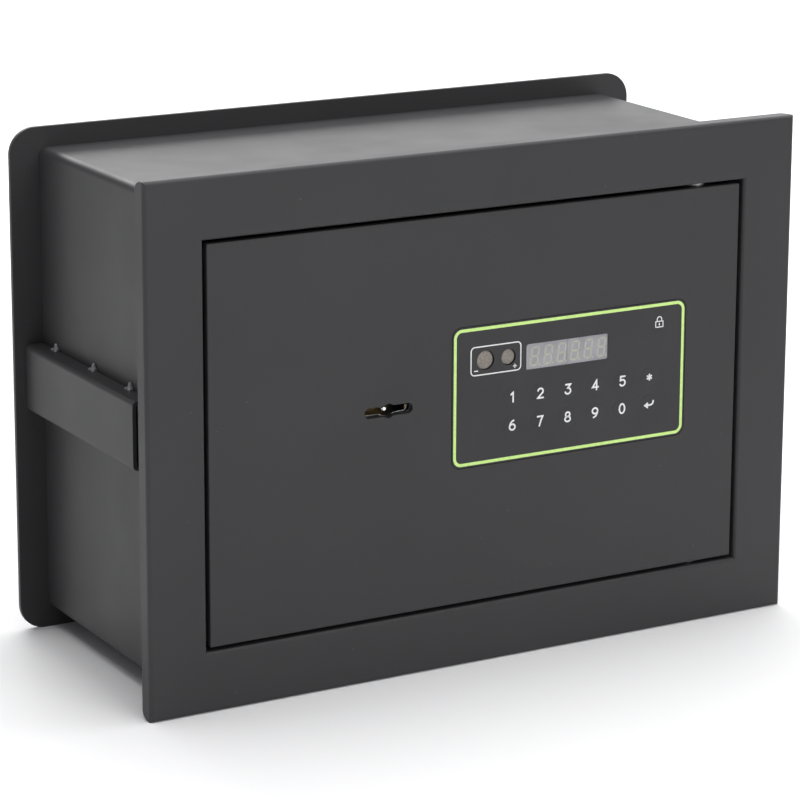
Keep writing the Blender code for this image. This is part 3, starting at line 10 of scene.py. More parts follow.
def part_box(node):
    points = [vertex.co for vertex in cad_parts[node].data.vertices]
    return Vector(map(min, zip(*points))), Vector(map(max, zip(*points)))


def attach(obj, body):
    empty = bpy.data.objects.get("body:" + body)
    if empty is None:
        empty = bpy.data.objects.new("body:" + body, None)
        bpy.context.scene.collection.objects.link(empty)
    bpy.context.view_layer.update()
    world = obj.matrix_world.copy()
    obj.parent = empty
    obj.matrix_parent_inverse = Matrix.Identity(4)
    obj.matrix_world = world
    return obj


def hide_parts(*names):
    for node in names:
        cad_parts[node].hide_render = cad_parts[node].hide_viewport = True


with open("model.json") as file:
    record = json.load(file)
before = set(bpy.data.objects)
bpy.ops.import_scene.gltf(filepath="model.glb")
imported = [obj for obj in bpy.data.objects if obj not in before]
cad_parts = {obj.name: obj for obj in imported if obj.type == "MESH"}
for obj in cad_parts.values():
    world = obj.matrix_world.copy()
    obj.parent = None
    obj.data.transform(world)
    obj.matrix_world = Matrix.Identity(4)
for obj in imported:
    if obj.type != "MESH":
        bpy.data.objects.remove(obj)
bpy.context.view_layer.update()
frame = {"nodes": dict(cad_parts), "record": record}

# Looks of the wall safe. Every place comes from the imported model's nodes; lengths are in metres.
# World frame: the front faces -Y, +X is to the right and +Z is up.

MM = 0.001

# --- sizes that only the looks need -------------------------------------------------------------

SHEET = 2.0 * MM  # thickness of the frame's and the body's sheet
FRAME_BEND = 2.3 * MM  # radius of the frame's outer fold
OPENING_BEND = 2.0 * MM  # radius of its fold round the door
FRAME_RETURN = 8.7 * MM  # depth of its folded rim
DOOR_GAP = 2.0 * MM
NOTCH_START = 1.4 * MM  # depth where a corner's notch begins
NOTCH_WIDTH = 3.8 * MM
HINGE_RELIEF = 2.8 * MM  # radius cleared in the frame's fold for the hinge pins
BODY_FOLD = 4.0 * MM
REAR_CORNER = 13 * MM
REAR_EDGE = 0.35 * MM
TACK_SIZE = 3.6 * MM
TACK_SINK = 0.4 * MM  # a tack's middle, out from the wall
TACK_SHARES = (0.17, 0.5, 0.855)  # along the channel, from its front end
EDGE = 0.25 * MM  # round on a sheet's edge
SMALL_EDGE = 0.15 * MM
FINE_EDGE = 0.05 * MM
FIT = 0.01 * MM

FILM_CORNER = 4.5 * MM
WINDOW_CORNER = 1.35 * MM
KEY_GAP = 0.25 * MM  # from a key's edge to its hole in the film
DOME_OVERLAP = 0.24 * MM  # a key's face past its CAD edge
CONTACT_GAP = 0.1 * MM
STEM_RADIUS = 2 * MM
FIGURE_HEIGHT = 4.6 * MM
FIGURE_WIDTH = 5.5 * MM
FIGURE_STROKE = 0.84 * MM
INK = 0.03 * MM  # thickness of print
THIN_STROKE = 0.5 * MM  # signs and icon
LINE_WIDTH = 1.5 * MM  # the lime line
LINE_INSET = 0.75 * MM
LINE_CORNER = 0.6 * MM  # added to the lime line's corner radius
BOX_LINE = 0.58 * MM  # the line round the contacts
BOX_HALF_HEIGHT = 6.8 * MM
BOX_LEFT = 8.0 * MM
BOX_RIGHT = 6.7 * MM
BOX_CORNER = 2 * MM
SIGN_HALF = 0.85 * MM
SIGN_DROP = 4.7 * MM
ICON_IN = 15.2 * MM  # the icon's middle from the film's right edge
ICON_DOWN = 10.6 * MM  # and from its top
SHACKLE_RADIUS = 1.3 * MM
DIGIT_PITCH = 7.5 * MM
DIGIT_HEIGHT = 8.7 * MM
DIGIT_WIDTH = 3.8 * MM
DIGITS_RIGHT = 0.7 * MM
DIGIT_STROKE = 0.95 * MM
DIGIT_SLANT = math.tan(math.radians(8))
SEGMENT_TIP = 0.04 * MM
SEGMENT_RISE = 0.04 * MM
SEGMENT_GAP = 0.16 * MM
POINT_RADIUS = 0.55 * MM
POINT_RIGHT = 1.15 * MM

CONTACTS = ("battery_contact_negative", "battery_contact_positive")  # left, right
ROUND_SIDES = 64  # sides of a round key or contact
CREASE = 35  # degrees; a sharper edge than this stays sharp

FLOOR_REACH = 2.2
LIGHT_TARGET = (0, 0, 0.12)
CAMERA_LENS = 149.4
CAMERA_SHIFT = -0.1125
CAMERA_PLACE = (-0.78063, -1.36351, 0.53469)
CAMERA_FORWARD = (0.48167, 0.84462, -0.23370)
CAMERA_ROLL = -0.21  # degrees


# --- node materials -----------------------------------------------------------------------------


def node(tree, kind, inputs=None, **settings):
    """A shader node; an input is either a value or another node's output."""
    made = tree.nodes.new(kind)
    for name, value in settings.items():
        setattr(made, name, value)
    for name, value in (inputs or {}).items():
        socket = made.inputs[name]
        if isinstance(value, bpy.types.NodeSocket):
            tree.links.new(value, socket)
        else:
            socket.default_value = value
    return made


def new_material(name, **uniform):
    """A material, its tree, its Principled shader and the object's own coordinates."""
    made = bpy.data.materials.new(name)
    made.use_nodes = True
    tree = made.node_tree
    shader = tree.nodes["Principled BSDF"]
    for socket, value in uniform.items():
        shader.inputs[socket.replace("_", " ")].default_value = value
    place = tree.nodes.new("ShaderNodeTexCoord").outputs["Object"]
    return made, tree, shader, place


def noise(tree, place, scale, detail=2.0, roughness=0.5):
    return node(tree, "ShaderNodeTexNoise",
                {"Vector": place, "Scale": scale, "Detail": detail,
                 "Roughness": roughness}).outputs["Fac"]


def ramp(tree, factor, stops):
    """A colour ramp through (position, colour) stops."""
    made = node(tree, "ShaderNodeValToRGB", {"Fac": factor})
    elements = made.color_ramp.elements
    while len(elements) < len(stops):
        elements.new(0.5)
    for element, (position, colour) in zip(elements, stops):
        element.position = position
        element.color = (*colour, 1.0)
    return made.outputs["Color"]


def grey(value):
    return (value, value, value)


def spread(tree, factor, low, high):
    """Maps a noise's middle range onto low..high."""
    inputs = {"Value": factor, "From Min": 0.3, "From Max": 0.7, "To Min": low, "To Max": high}
    return node(tree, "ShaderNodeMapRange", inputs).outputs["Result"]


def mix(tree, factor, first, second):
    """Two colours mixed; the node's colour sockets are picked by number."""
    made = node(tree, "ShaderNodeMix", data_type="RGBA")
    for index, value in ((0, factor), (6, first), (7, second)):
        socket = made.inputs[index]
        if isinstance(value, bpy.types.NodeSocket):
            tree.links.new(value, socket)
        else:
            socket.default_value = value if index == 0 else (*value, 1.0)
    return made.outputs[2]


def bump(tree, shader, height, distance, strength):
    made = node(tree, "ShaderNodeBump",
                {"Height": height, "Distance": distance, "Strength": strength})
    tree.links.new(made.outputs["Normal"], shader.inputs["Normal"])


def specks(tree, place, scale, radius):
    """1 in small round specks spaced about 1/scale apart, 0 elsewhere."""
    cells = node(tree, "ShaderNodeTexVoronoi", {"Vector": place, "Scale": scale})
    edge = radius * scale
    return ramp(tree, cells.outputs["Distance"], [(edge * 0.6, grey(1.0)), (edge, grey(0.0))])


def powder_coat(name="graphite_powder_coat", base=0.034, shine=0.27, grip=0.44):
    """Graphite powder coat: slow drift in shade, fine orange peel and a few specks of dust."""
    made, tree, shader, place = new_material(name, Specular_IOR_Level=shine)
    drift = noise(tree, place, 9, 3)
    low, high = base * 0.94, base * 1.06
    colour = ramp(tree, drift, [(0.3, (low, low, low * 1.05)),
                                (0.7, (high, high, high * 1.05))])
    grain = noise(tree, place, 2600, 2)
    colour = mix(tree, spread(tree, grain, 0.0, 0.12), colour, grey(base * 2.2))
    dust = specks(tree, place, 75, 0.34 * MM)
    colour = mix(tree, dust, colour, grey(base * 3.5))
    tree.links.new(colour, shader.inputs["Base Color"])
    cloud = noise(tree, place, 30, 3)
    tree.links.new(spread(tree, cloud, grip, grip + 0.06), shader.inputs["Roughness"])
    peel = noise(tree, place, 900, 2)
    bump(tree, shader, peel, 0.035 * MM, 0.5)
    return made


def film(tint, roughness):
    """Printed polyester film: very fine texture and faint handling marks."""
    made, tree, shader, place = new_material("keypad_film", Specular_IOR_Level=0.27)
    drift = noise(tree, place, 40, 2)
    light = tuple(channel * 1.12 for channel in tint)
    tree.links.new(ramp(tree, drift, [(0.3, tint), (0.7, light)]), shader.inputs["Base Color"])
    smear = noise(tree, place, 120, 4, 0.6)
    tree.links.new(spread(tree, smear, roughness, roughness + 0.08), shader.inputs["Roughness"])
    bump(tree, shader, noise(tree, place, 2400, 1), 0.01 * MM, 0.35)
    return made


def ink(name, colour):
    """Printed ink, a little worn in places."""
    made, tree, shader, place = new_material(name, Specular_IOR_Level=0.35)
    worn = tuple(channel * 0.9 for channel in colour)
    tree.links.new(ramp(tree, noise(tree, place, 700, 3), [(0.35, worn), (0.6, colour)]),
                   shader.inputs["Base Color"])
    tree.links.new(spread(tree, noise(tree, place, 300, 2), 0.42, 0.55), shader.inputs["Roughness"])
    return made


def metal(name, colour, roughness, brush=(1, 1, 1), scale=900, depth=0.01 * MM):
    """Metal with fine marks that run across the axes where brush is large."""
    made, tree, shader, place = new_material(name, Metallic=1.0)
    stretched = node(tree, "ShaderNodeMapping", {"Vector": place, "Scale": brush}).outputs["Vector"]
    marks = noise(tree, stretched, scale, 3, 0.6)
    dull = tuple(channel * 0.82 for channel in colour)
    tree.links.new(ramp(tree, marks, [(0.3, dull), (0.7, colour)]), shader.inputs["Base Color"])
    cloud = noise(tree, place, 90, 3)
    tree.links.new(spread(tree, cloud, roughness, roughness + 0.12), shader.inputs["Roughness"])
    bump(tree, shader, marks, depth, 0.6)
    return made


def moulded(name, colour, roughness, scale=1500, depth=0.02 * MM):
    """Moulded plastic with a spark-eroded texture."""
    made, tree, shader, place = new_material(name, Specular_IOR_Level=0.5)
    light = tuple(min(1.0, channel * 1.25 + 0.004) for channel in colour)
    tree.links.new(ramp(tree, noise(tree, place, 160, 3), [(0.3, colour), (0.7, light)]),
                   shader.inputs["Base Color"])
    tree.links.new(spread(tree, noise(tree, place, 400, 2), roughness, roughness + 0.1),
                   shader.inputs["Roughness"])
    bump(tree, shader, noise(tree, place, scale, 2), depth, 0.5)
    return made


def board_finish():
    """Green solder mask over copper tracks, which show as slightly raised lighter lines."""
    made, tree, shader, place = new_material("board_green")
    turned = node(tree, "ShaderNodeMapping", {"Vector": place, "Rotation": (math.pi / 2, 0, 0)})
    brick = node(tree, "ShaderNodeTexBrick",
                 {"Vector": turned.outputs["Vector"], "Scale": 90.0, "Mortar Size": 0.012})
    colour = mix(tree, brick.outputs["Fac"], (0.012, 0.085, 0.03), (0.03, 0.17, 0.06))
    tree.links.new(colour, shader.inputs["Base Color"])
    tree.links.new(spread(tree, noise(tree, place, 200, 2), 0.25, 0.4), shader.inputs["Roughness"])
    bump(tree, shader, brick.outputs["Fac"], 0.04 * MM, 0.6)
    return made


def felt():
    """Needled grey felt: matted fibres over small tufts."""
    made, tree, shader, place = new_material("grey_felt", Sheen_Weight=0.5, Sheen_Roughness=0.6)
    fibres = noise(tree, place, 1400, 5, 0.75)
    colour = ramp(tree, fibres, [(0.3, grey(0.035)), (0.55, grey(0.075)), (0.75, grey(0.16))])
    tree.links.new(colour, shader.inputs["Base Color"])
    tree.links.new(spread(tree, fibres, 0.88, 1.0), shader.inputs["Roughness"])
    tufts = node(tree, "ShaderNodeMath", {0: fibres, 1: noise(tree, place, 260, 3)},
                 operation="ADD")
    bump(tree, shader, tufts.outputs["Value"], 0.5 * MM, 0.8)
    return made


def window_finish():
    """A thin clear window: see-through, faintly milky."""
    made, tree, shader, place = new_material("display_window", Specular_IOR_Level=0.4)
    haze = noise(tree, place, 500, 3)
    tree.links.new(ramp(tree, haze, [(0.3, grey(0.30)), (0.7, grey(0.34))]),
                   shader.inputs["Base Color"])
    tree.links.new(spread(tree, haze, 0.22, 0.28), shader.inputs["Roughness"])
    shader.inputs["Alpha"].default_value = 0.12
    made.surface_render_method = "BLENDED"
    return made


def sleeve():
    """Battery sleeve: dark with a copper-coloured band at one end of each cell."""
    made, tree, shader, place = new_material("battery_sleeve", Specular_IOR_Level=0.5)
    across = node(tree, "ShaderNodeSeparateXYZ", {"Vector": place}).outputs["X"]
    low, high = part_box("battery_pack")
    share = node(tree, "ShaderNodeMapRange",
                 {"Value": across, "From Min": low.x, "From Max": high.x})
    copper = (0.42, 0.19, 0.07)
    bands = [(0.0, copper), (0.27, copper), (0.275, (0.02, 0.02, 0.022)),
             (1.0, (0.03, 0.03, 0.032))]
    tree.links.new(ramp(tree, share.outputs["Result"], bands), shader.inputs["Base Color"])
    tree.links.new(spread(tree, noise(tree, place, 200, 3), 0.2, 0.34),
                   shader.inputs["Roughness"])
    return made


def contact_finish():
    """Dull brown conductive contact, darker towards its pits."""
    made, tree, shader, place = new_material("contact_metal", Metallic=0.35)
    stain = noise(tree, place, 700, 4, 0.6)
    colour = ramp(tree, stain, [(0.3, (0.17, 0.148, 0.128)), (0.7, (0.29, 0.262, 0.235))])
    tree.links.new(colour, shader.inputs["Base Color"])
    tree.links.new(spread(tree, stain, 0.38, 0.5), shader.inputs["Roughness"])
    bump(tree, shader, stain, 0.02 * MM, 0.5)
    return made


FINISHES = {
    "graphite_powder_coat": powder_coat(),
    "keypad_film": film((0.032, 0.032, 0.034), 0.45),
    "plated_steel": metal("plated_steel", (0.52, 0.52, 0.53), 0.28),
    "bright_steel": metal("bright_steel", (0.86, 0.86, 0.84), 0.14, brush=(8, 1, 1),
                          scale=500),
    "zinc_plate": metal("zinc_plate", (0.50, 0.51, 0.50), 0.36, scale=250, depth=0.02 * MM),
    "brass": metal("brass", (0.72, 0.53, 0.24), 0.24, brush=(1, 1, 6), scale=500),
    "contact_metal": contact_finish(),
    "display_window": window_finish(),
    "display_grey": moulded("display_grey", (0.345, 0.34, 0.375), 0.40, depth=0.002 * MM),
    "board_green": board_finish(),
    "black_plastic": moulded("black_plastic", (0.018, 0.018, 0.019), 0.42),
    "red_plastic": moulded("red_plastic", (0.42, 0.015, 0.012), 0.3, depth=0.008 * MM),
    "battery_sleeve": sleeve(),
    "grey_felt": felt(),
}
WHITE_INK = ink("white_ink", (0.80, 0.80, 0.80))
LIME_INK = ink("lime_ink", (0.60, 0.86, 0.27))
SEGMENT = ink("segment_plastic", (0.56, 0.57, 0.44))
# The weld tacks sit under the same graphite powder coat. Their far lighter base colour (0.16
# against 0.034) is a painted highlight for the light their peaks catch; their higher shine and
# lower roughness are real.
PAINTED_HIGHLIGHT_WELD = powder_coat("coated_weld_painted_highlight", 0.16, 0.8, 0.26)


# --- mesh helpers -------------------------------------------------------------------------------


def block(x, y, z):
    """A box between (low, high) pairs."""
    mesh = bmesh.new()
    size = (x[1] - x[0], y[1] - y[0], z[1] - z[0])
    centre = Vector((x[1] + x[0], y[1] + y[0], z[1] + z[0])) / 2
    place = Matrix.Translation(centre) @ Matrix.Diagonal((*size, 1.0))
    bmesh.ops.create_cube(mesh, size=1.0, matrix=place)
    return mesh


def round_corners(mesh, radius, segments):
    """Rounds the edges that run from front to back."""
    picked = []
    for edge in mesh.edges:
        run = edge.verts[1].co - edge.verts[0].co
        if abs(run.y) > 0.999 * run.length:
            picked.append(edge)
    bmesh.ops.bevel(mesh, geom=picked, offset=radius, offset_type="OFFSET", segments=segments,
                    profile=0.5, affect="EDGES")
    return mesh


def rod(radius, start, end, sides=48):
    """A round bar between two points."""
    start = Vector(start)
    run = Vector(end) - start
    place = Matrix.Translation(start + run / 2) @ run.to_track_quat("Z", "Y").to_matrix().to_4x4()
    mesh = bmesh.new()
    bmesh.ops.create_cone(mesh, cap_ends=True, segments=sides, radius1=radius, radius2=radius,
                          depth=run.length, matrix=place)
    return mesh


def joined(meshes):
    """Several solids in one mesh."""
    result = bmesh.new()
    for mesh in meshes:
        spare = bpy.data.meshes.new("spare")
        mesh.to_mesh(spare)
        mesh.free()
        result.from_mesh(spare)
        bpy.data.meshes.remove(spare)
    return result


def new_object(name, mesh, material=None):
    data = bpy.data.meshes.new(name)
    mesh.to_mesh(data)
    mesh.free()
    made = bpy.data.objects.new(name, data)
    bpy.context.scene.collection.objects.link(made)
    if material is not None:
        data.materials.append(material)
    return made


def apply_modifiers(obj):
    """Puts an object's evaluated mesh in the object and clears its modifiers."""
    graph = bpy.context.evaluated_depsgraph_get()
    data = bpy.data.meshes.new_from_object(obj.evaluated_get(graph))
    old = obj.data
    obj.modifiers.clear()
    obj.data = data
    data.name = obj.name
    bpy.data.meshes.remove(old)


def cut(obj, mesh):
    """Cuts a closed mesh out of an object."""
    helper = new_object("cutter", mesh)
    modifier = obj.modifiers.new("cut", "BOOLEAN")
    modifier.object = helper
    modifier.operation = "DIFFERENCE"
    modifier.solver = "EXACT"
    bpy.context.view_layer.update()
    apply_modifiers(obj)
    bpy.data.objects.remove(helper, do_unlink=True)


def shade(obj, angle=CREASE):
    """Smooth shading, with the edges sharper than an angle left sharp."""
    obj.data.shade_smooth()
    obj.data.set_sharp_from_angle(angle=math.radians(angle))


def soften(obj, width, segments=2, angle=CREASE):
    """Gives sharp edges a small round and smooths the faces between them."""
    mesh = bmesh.new()
    mesh.from_mesh(obj.data)
    bmesh.ops.remove_doubles(mesh, verts=mesh.verts, dist=0.001 * MM)
    bmesh.ops.dissolve_limit(mesh, angle_limit=math.radians(0.5), verts=mesh.verts,
                             edges=mesh.edges)
    mesh.to_mesh(obj.data)
    mesh.free()
    if width > 0:
        modifier = obj.modifiers.new("edge", "BEVEL")
        modifier.width = width
        modifier.segments = segments
        modifier.limit_method = "ANGLE"
        modifier.angle_limit = math.radians(angle)
        modifier.miter_outer = "MITER_ARC"
        modifier.use_clamp_overlap = True
        bpy.context.view_layer.update()
        apply_modifiers(obj)
    shade(obj, angle)


def weighted(obj):
    """Keeps flat faces flat to the eye next to their rounded edges."""
    modifier = obj.modifiers.new("normals", "WEIGHTED_NORMAL")
    modifier.keep_sharp = True


def place_piece(obj, body, slot, nodes=()):
    """Puts a piece on its body, in place of the CAD nodes named; the slot argument is not used."""
    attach(obj, body)
    if nodes:
        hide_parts(*nodes)


def body_of_node(name):
    for body, members in frame["record"]["behaviour"]["bodies"].items():
        if name in members:
            return body
    raise KeyError(name)


def slot_of_node(name):
    for row in frame["record"]["subparts"]:
        if row["node"] == name:
            return row["material_slot"]
    raise KeyError(name)


def refined(node_name, width, angle=CREASE):
    """A finer copy of a CAD node, with rounded edges and smooth round faces."""
    source = frame["nodes"][node_name]
    mesh = bmesh.new()
    mesh.from_mesh(source.data)
    made = new_object(f"{node_name}_finished", mesh, FINISHES[slot_of_node(node_name)])
    soften(made, width, angle=angle)
    weighted(made)
    place_piece(made, body_of_node(node_name), slot_of_node(node_name), [node_name])


def strip(points, half_widths, height, thickness, closed=False):
    """A flat ribbon along (x, z) points, on a surface that faces -Y at depth height(x, z)."""
    count = len(points)
    mesh = bmesh.new()
    rows = []
    for i, (x, z) in enumerate(points):
        before = points[(i - 1) % count] if closed or i > 0 else points[i]
        after = points[(i + 1) % count] if closed or i < count - 1 else points[i]
        first = Vector((x - before[0], z - before[1]))
        second = Vector((after[0] - x, after[1] - z))
        first = first.normalized() if first.length > 0 else second.normalized()
        second = second.normalized() if second.length > 0 else first
        along = (first + second).normalized()
        side = Vector((-along.y, along.x)) / max(0.5, along.dot(first))
        half = half_widths[i]
        row = []
        for way in (1, -1):
            px = x + side.x * half * way
            pz = z + side.y * half * way
            level = height(px, pz)
            row += [mesh.verts.new((px, level - thickness, pz)),
                    mesh.verts.new((px, level + FIT, pz))]
        rows.append(row)
    last = count if closed else count - 1
    for i in range(last):
        a, b = rows[i], rows[(i + 1) % count]
        for j, k in ((0, 2), (2, 3), (3, 1), (1, 0)):
            mesh.faces.new((a[j], a[k], b[k], b[j]))
    if not closed:
        for row in (rows[0], rows[-1]):
            mesh.faces.new((row[0], row[2], row[3], row[1]))
    bmesh.ops.recalc_face_normals(mesh, faces=mesh.faces)
    return mesh


def level_at(y):
    """A surface at one depth, in the form that strip takes."""
    return lambda x, z: y


def rounded_stroke(points, width, height):
    """A line of ink with half-round ends, through points of a finer walk along the route."""
    walk = []
    step = width / 4
    for start, end in zip(points, points[1:]):
        run = math.dist(start, end)
        pieces = max(1, math.ceil(run / step))
        walk += [(start[0] + (end[0] - start[0]) * i / pieces,
                  start[1] + (end[1] - start[1]) * i / pieces) for i in range(pieces)]
    walk.append(points[-1])
    half = width / 2
    head, tail = [], []
    for angle in (5, 30, 60):
        reach = half * math.cos(math.radians(angle))
        head.append((reach, half * math.sin(math.radians(angle))))
        tail.insert(0, head[-1])
    start_way = Vector((walk[0][0] - walk[1][0], walk[0][1] - walk[1][1])).normalized()
    end_way = Vector((walk[-1][0] - walk[-2][0], walk[-1][1] - walk[-2][1])).normalized()
    full = [(walk[0][0] + start_way.x * reach, walk[0][1] + start_way.y * reach)
            for reach, _ in head]
    full += walk
    full += [(walk[-1][0] + end_way.x * reach, walk[-1][1] + end_way.y * reach)
             for reach, _ in tail]
    halves = [value for _, value in head] + [half] * len(walk) + [value for _, value in tail]
    return strip(full, halves, height, INK)


def arc(cx, cy, rx, ry, start, end, steps=14):
    """Points along part of an ellipse, from one angle to another in degrees."""
    turn = [math.radians(start + (end - start) * i / steps) for i in range(steps + 1)]
    return [(cx + rx * math.cos(a), cy + ry * math.sin(a)) for a in turn]


def round_box_points(x, z, radius, steps=10):
    """Points round a rectangle with rounded corners, anticlockwise seen from the front."""
    corners = ((x[1] - radius, z[0] + radius, -90), (x[1] - radius, z[1] - radius, 0),
               (x[0] + radius, z[1] - radius, 90), (x[0] + radius, z[0] + radius, 180))
    points = []
    for cx, cz, start in corners:
        for i in range(steps + 1):
            angle = math.radians(start + 90 * i / steps)
            points.append((cx + radius * math.cos(angle), cz + radius * math.sin(angle)))
    return points


def outline(x, z, radius, width, level, material, name):
    """A printed line round a rounded rectangle on the door."""
    points = round_box_points(x, z, radius)
    mesh = strip(points, [width / 2] * len(points), level_at(level), INK, closed=True)
    made = new_object(name, mesh, material)
    shade(made)
    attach(made, "door")


# --- fixed body ---------------------------------------------------------------------------------


def corner_notch(x, front, z):
    """A trumpet that parts two folded edges at a corner and rounds their ends."""
    sides, steps = 40, 14
    rings = []
    for i in range(steps + 1):
        share = i / steps
        radius = NOTCH_WIDTH * (1 - math.sqrt(1 - share * share)) + 0.02 * MM
        rings.append((radius, NOTCH_START + (FRAME_RETURN - NOTCH_START) * share))
    rings.append((NOTCH_WIDTH * 1.02, FRAME_RETURN + MM))
    mesh = bmesh.new()
    loops = []
    for radius, depth in rings:
        turn = [2 * math.pi * i / sides for i in range(sides)]
        verts = [mesh.verts.new((x + radius * math.cos(a), front + depth,
                                 z + radius * math.sin(a))) for a in turn]
        loops.append([mesh.edges.new((verts[i], verts[(i + 1) % sides])) for i in range(sides)])
    for first, second in zip(loops, loops[1:]):
        bmesh.ops.bridge_loops(mesh, edges=first + second)
    bmesh.ops.holes_fill(mesh, edges=loops[0] + loops[-1], sides=sides)
    bmesh.ops.recalc_face_normals(mesh, faces=mesh.faces)
    return mesh


def folded_frame():
    """The front frame's tray, swept round its outline with finer bends than the CAD has."""
    low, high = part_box("front_frame")
    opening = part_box("door_plate")[1].x + DOOR_GAP
    border = high.x - opening
    depth_all = high.y - low.y
    profile = [(0.0, FRAME_RETURN)]
    profile += arc(FRAME_BEND, FRAME_BEND, FRAME_BEND, FRAME_BEND, 180, 270, 10)
    inner = border - OPENING_BEND
    profile += arc(inner, OPENING_BEND, OPENING_BEND, OPENING_BEND, 270, 360, 10)
    profile.append((border, depth_all))
    mesh = bmesh.new()
    loops = []
    for offset, depth in profile:
        x0, x1, z0, z1 = low.x + offset, high.x - offset, low.z + offset, high.z - offset
        corners = ((x0, z0), (x1, z0), (x1, z1), (x0, z1))
        verts = [mesh.verts.new((x, low.y + depth, z)) for x, z in corners]
        loops.append([mesh.edges.new((verts[i], verts[(i + 1) % 4])) for i in range(4)])
    for first, second in zip(loops, loops[1:]):
        bmesh.ops.bridge_loops(mesh, edges=first + second)
    bmesh.ops.recalc_face_normals(mesh, faces=mesh.faces)
    face = min(mesh.faces, key=lambda f: f.calc_center_median().y)
    face.normal_update()
    if face.normal.y > 0:
        bmesh.ops.reverse_faces(mesh, faces=mesh.faces)
    made = new_object("front_frame_folded", mesh, FINISHES["graphite_powder_coat"])
    sheet = made.modifiers.new("sheet", "SOLIDIFY")
    sheet.thickness = SHEET
    sheet.offset = -1
    sheet.use_even_offset = True
    bpy.context.view_layer.update()
    apply_modifiers(made)
    for x in (low.x, high.x):
        for z in (low.z, high.z):
            cut(made, corner_notch(x, low.y, z))
    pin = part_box("hinge_pin_upper")
    pin_x, pin_y = (pin[0].x + pin[1].x) / 2, (pin[0].y + pin[1].y) / 2
    bottom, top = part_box("hinge_pin_lower")[0].z + MM, pin[1].z - MM
    cut(made, rod(HINGE_RELIEF, (pin_x, pin_y, bottom), (pin_x, pin_y, top)))
    soften(made, 0.2 * MM, angle=40)
    weighted(made)
    place_piece(made, "safe_body", "graphite_powder_coat", ["front_frame"])


def wrapped_body():
    """Four walls from one folded strip, as a closed tube of sheet with round folds."""
    low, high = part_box("body_shell")
    rings = []
    mesh = bmesh.new()
    for inset, y in ((0.0, low.y), (0.0, high.y), (SHEET, high.y), (SHEET, low.y)):
        points = round_box_points((low.x + inset, high.x - inset),
                                  (low.z + inset, high.z - inset), BODY_FOLD - inset, 12)
        rings.append([mesh.verts.new((x, y, z)) for x, z in points])
    count = len(rings[0])
    for first, second in zip(rings, rings[1:] + rings[:1]):
        for i in range(count):
            k = (i + 1) % count
            mesh.faces.new((first[i], first[k], second[k], second[i]))
    bmesh.ops.recalc_face_normals(mesh, faces=mesh.faces)
    made = new_object("body_wrap", mesh, FINISHES["graphite_powder_coat"])
    shade(made)
    weighted(made)
    place_piece(made, "safe_body", "graphite_powder_coat", ["body_shell"])


def flange_plate():
    """The rear plate with round corners and softened edges."""
    low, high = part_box("rear_plate")
    plate = block((low.x, high.x), (low.y, high.y), (low.z, high.z))
    round_corners(plate, REAR_CORNER, 20)
    made = new_object("rear_plate_edged", plate, FINISHES["graphite_powder_coat"])
    soften(made, REAR_EDGE, 3, 50)
    weighted(made)
    place_piece(made, "safe_body", "graphite_powder_coat", ["rear_plate"])


def weld_tack(seed):
    """A small spiky blob of weld metal under the paint, drawn out along three arms."""
    pick = random.Random(seed)
    mesh = bmesh.new()
    bmesh.ops.create_icosphere(mesh, subdivisions=3, radius=1.0)
    arms = [Vector((0, pick.uniform(0.2, 0.5), 1)), Vector((-0.6, 0.9, 0.05)),
            Vector((-0.7, -0.9, 0.0))]
    for vert in mesh.verts:
        way = vert.co.normalized()
        pull = max(max(0.0, way.dot(arm.normalized())) ** 9 for arm in arms)
        lump = 0.08 * math.sin(9 * way.x + seed) * math.sin(7 * way.z)
        vert.co = way * TACK_SIZE * (0.42 + 0.62 * pull + lump * 0.4)
    return mesh


def anchor_welds(side):
    """Tacks along the top and bottom of an anchor channel, where it meets the wall."""
    name = "anchor_channel_left" if side < 0 else "anchor_channel_right"
    low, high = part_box(name)
    wall = high.x if side < 0 else low.x
    blobs = []
    length = high.y - low.y
    for number, share in enumerate(TACK_SHARES):
        for level, way in ((high.z, 1), (low.z, -1)):
            blob = weld_tack(number + 3 * (way > 0))
            turn = Matrix.Diagonal((-side, 1, way, 1))
            bmesh.ops.transform(blob, matrix=turn, verts=blob.verts)
            if side * way > 0:  # mirrored once, so its faces are inside out
                bmesh.ops.reverse_faces(blob, faces=blob.faces)
            place = (wall + side * TACK_SINK, low.y + length * share, level)
            bmesh.ops.translate(blob, vec=place, verts=blob.verts)
            blobs.append(blob)
    # The tacks' lighter coat is a painted highlight, not a different paint.
    made = new_object(f"{name}_tacks", joined(blobs), PAINTED_HIGHLIGHT_WELD)
    made.data.shade_smooth()
    place_piece(made, "safe_body", "graphite_powder_coat")


# --- door face ----------------------------------------------------------------------------------


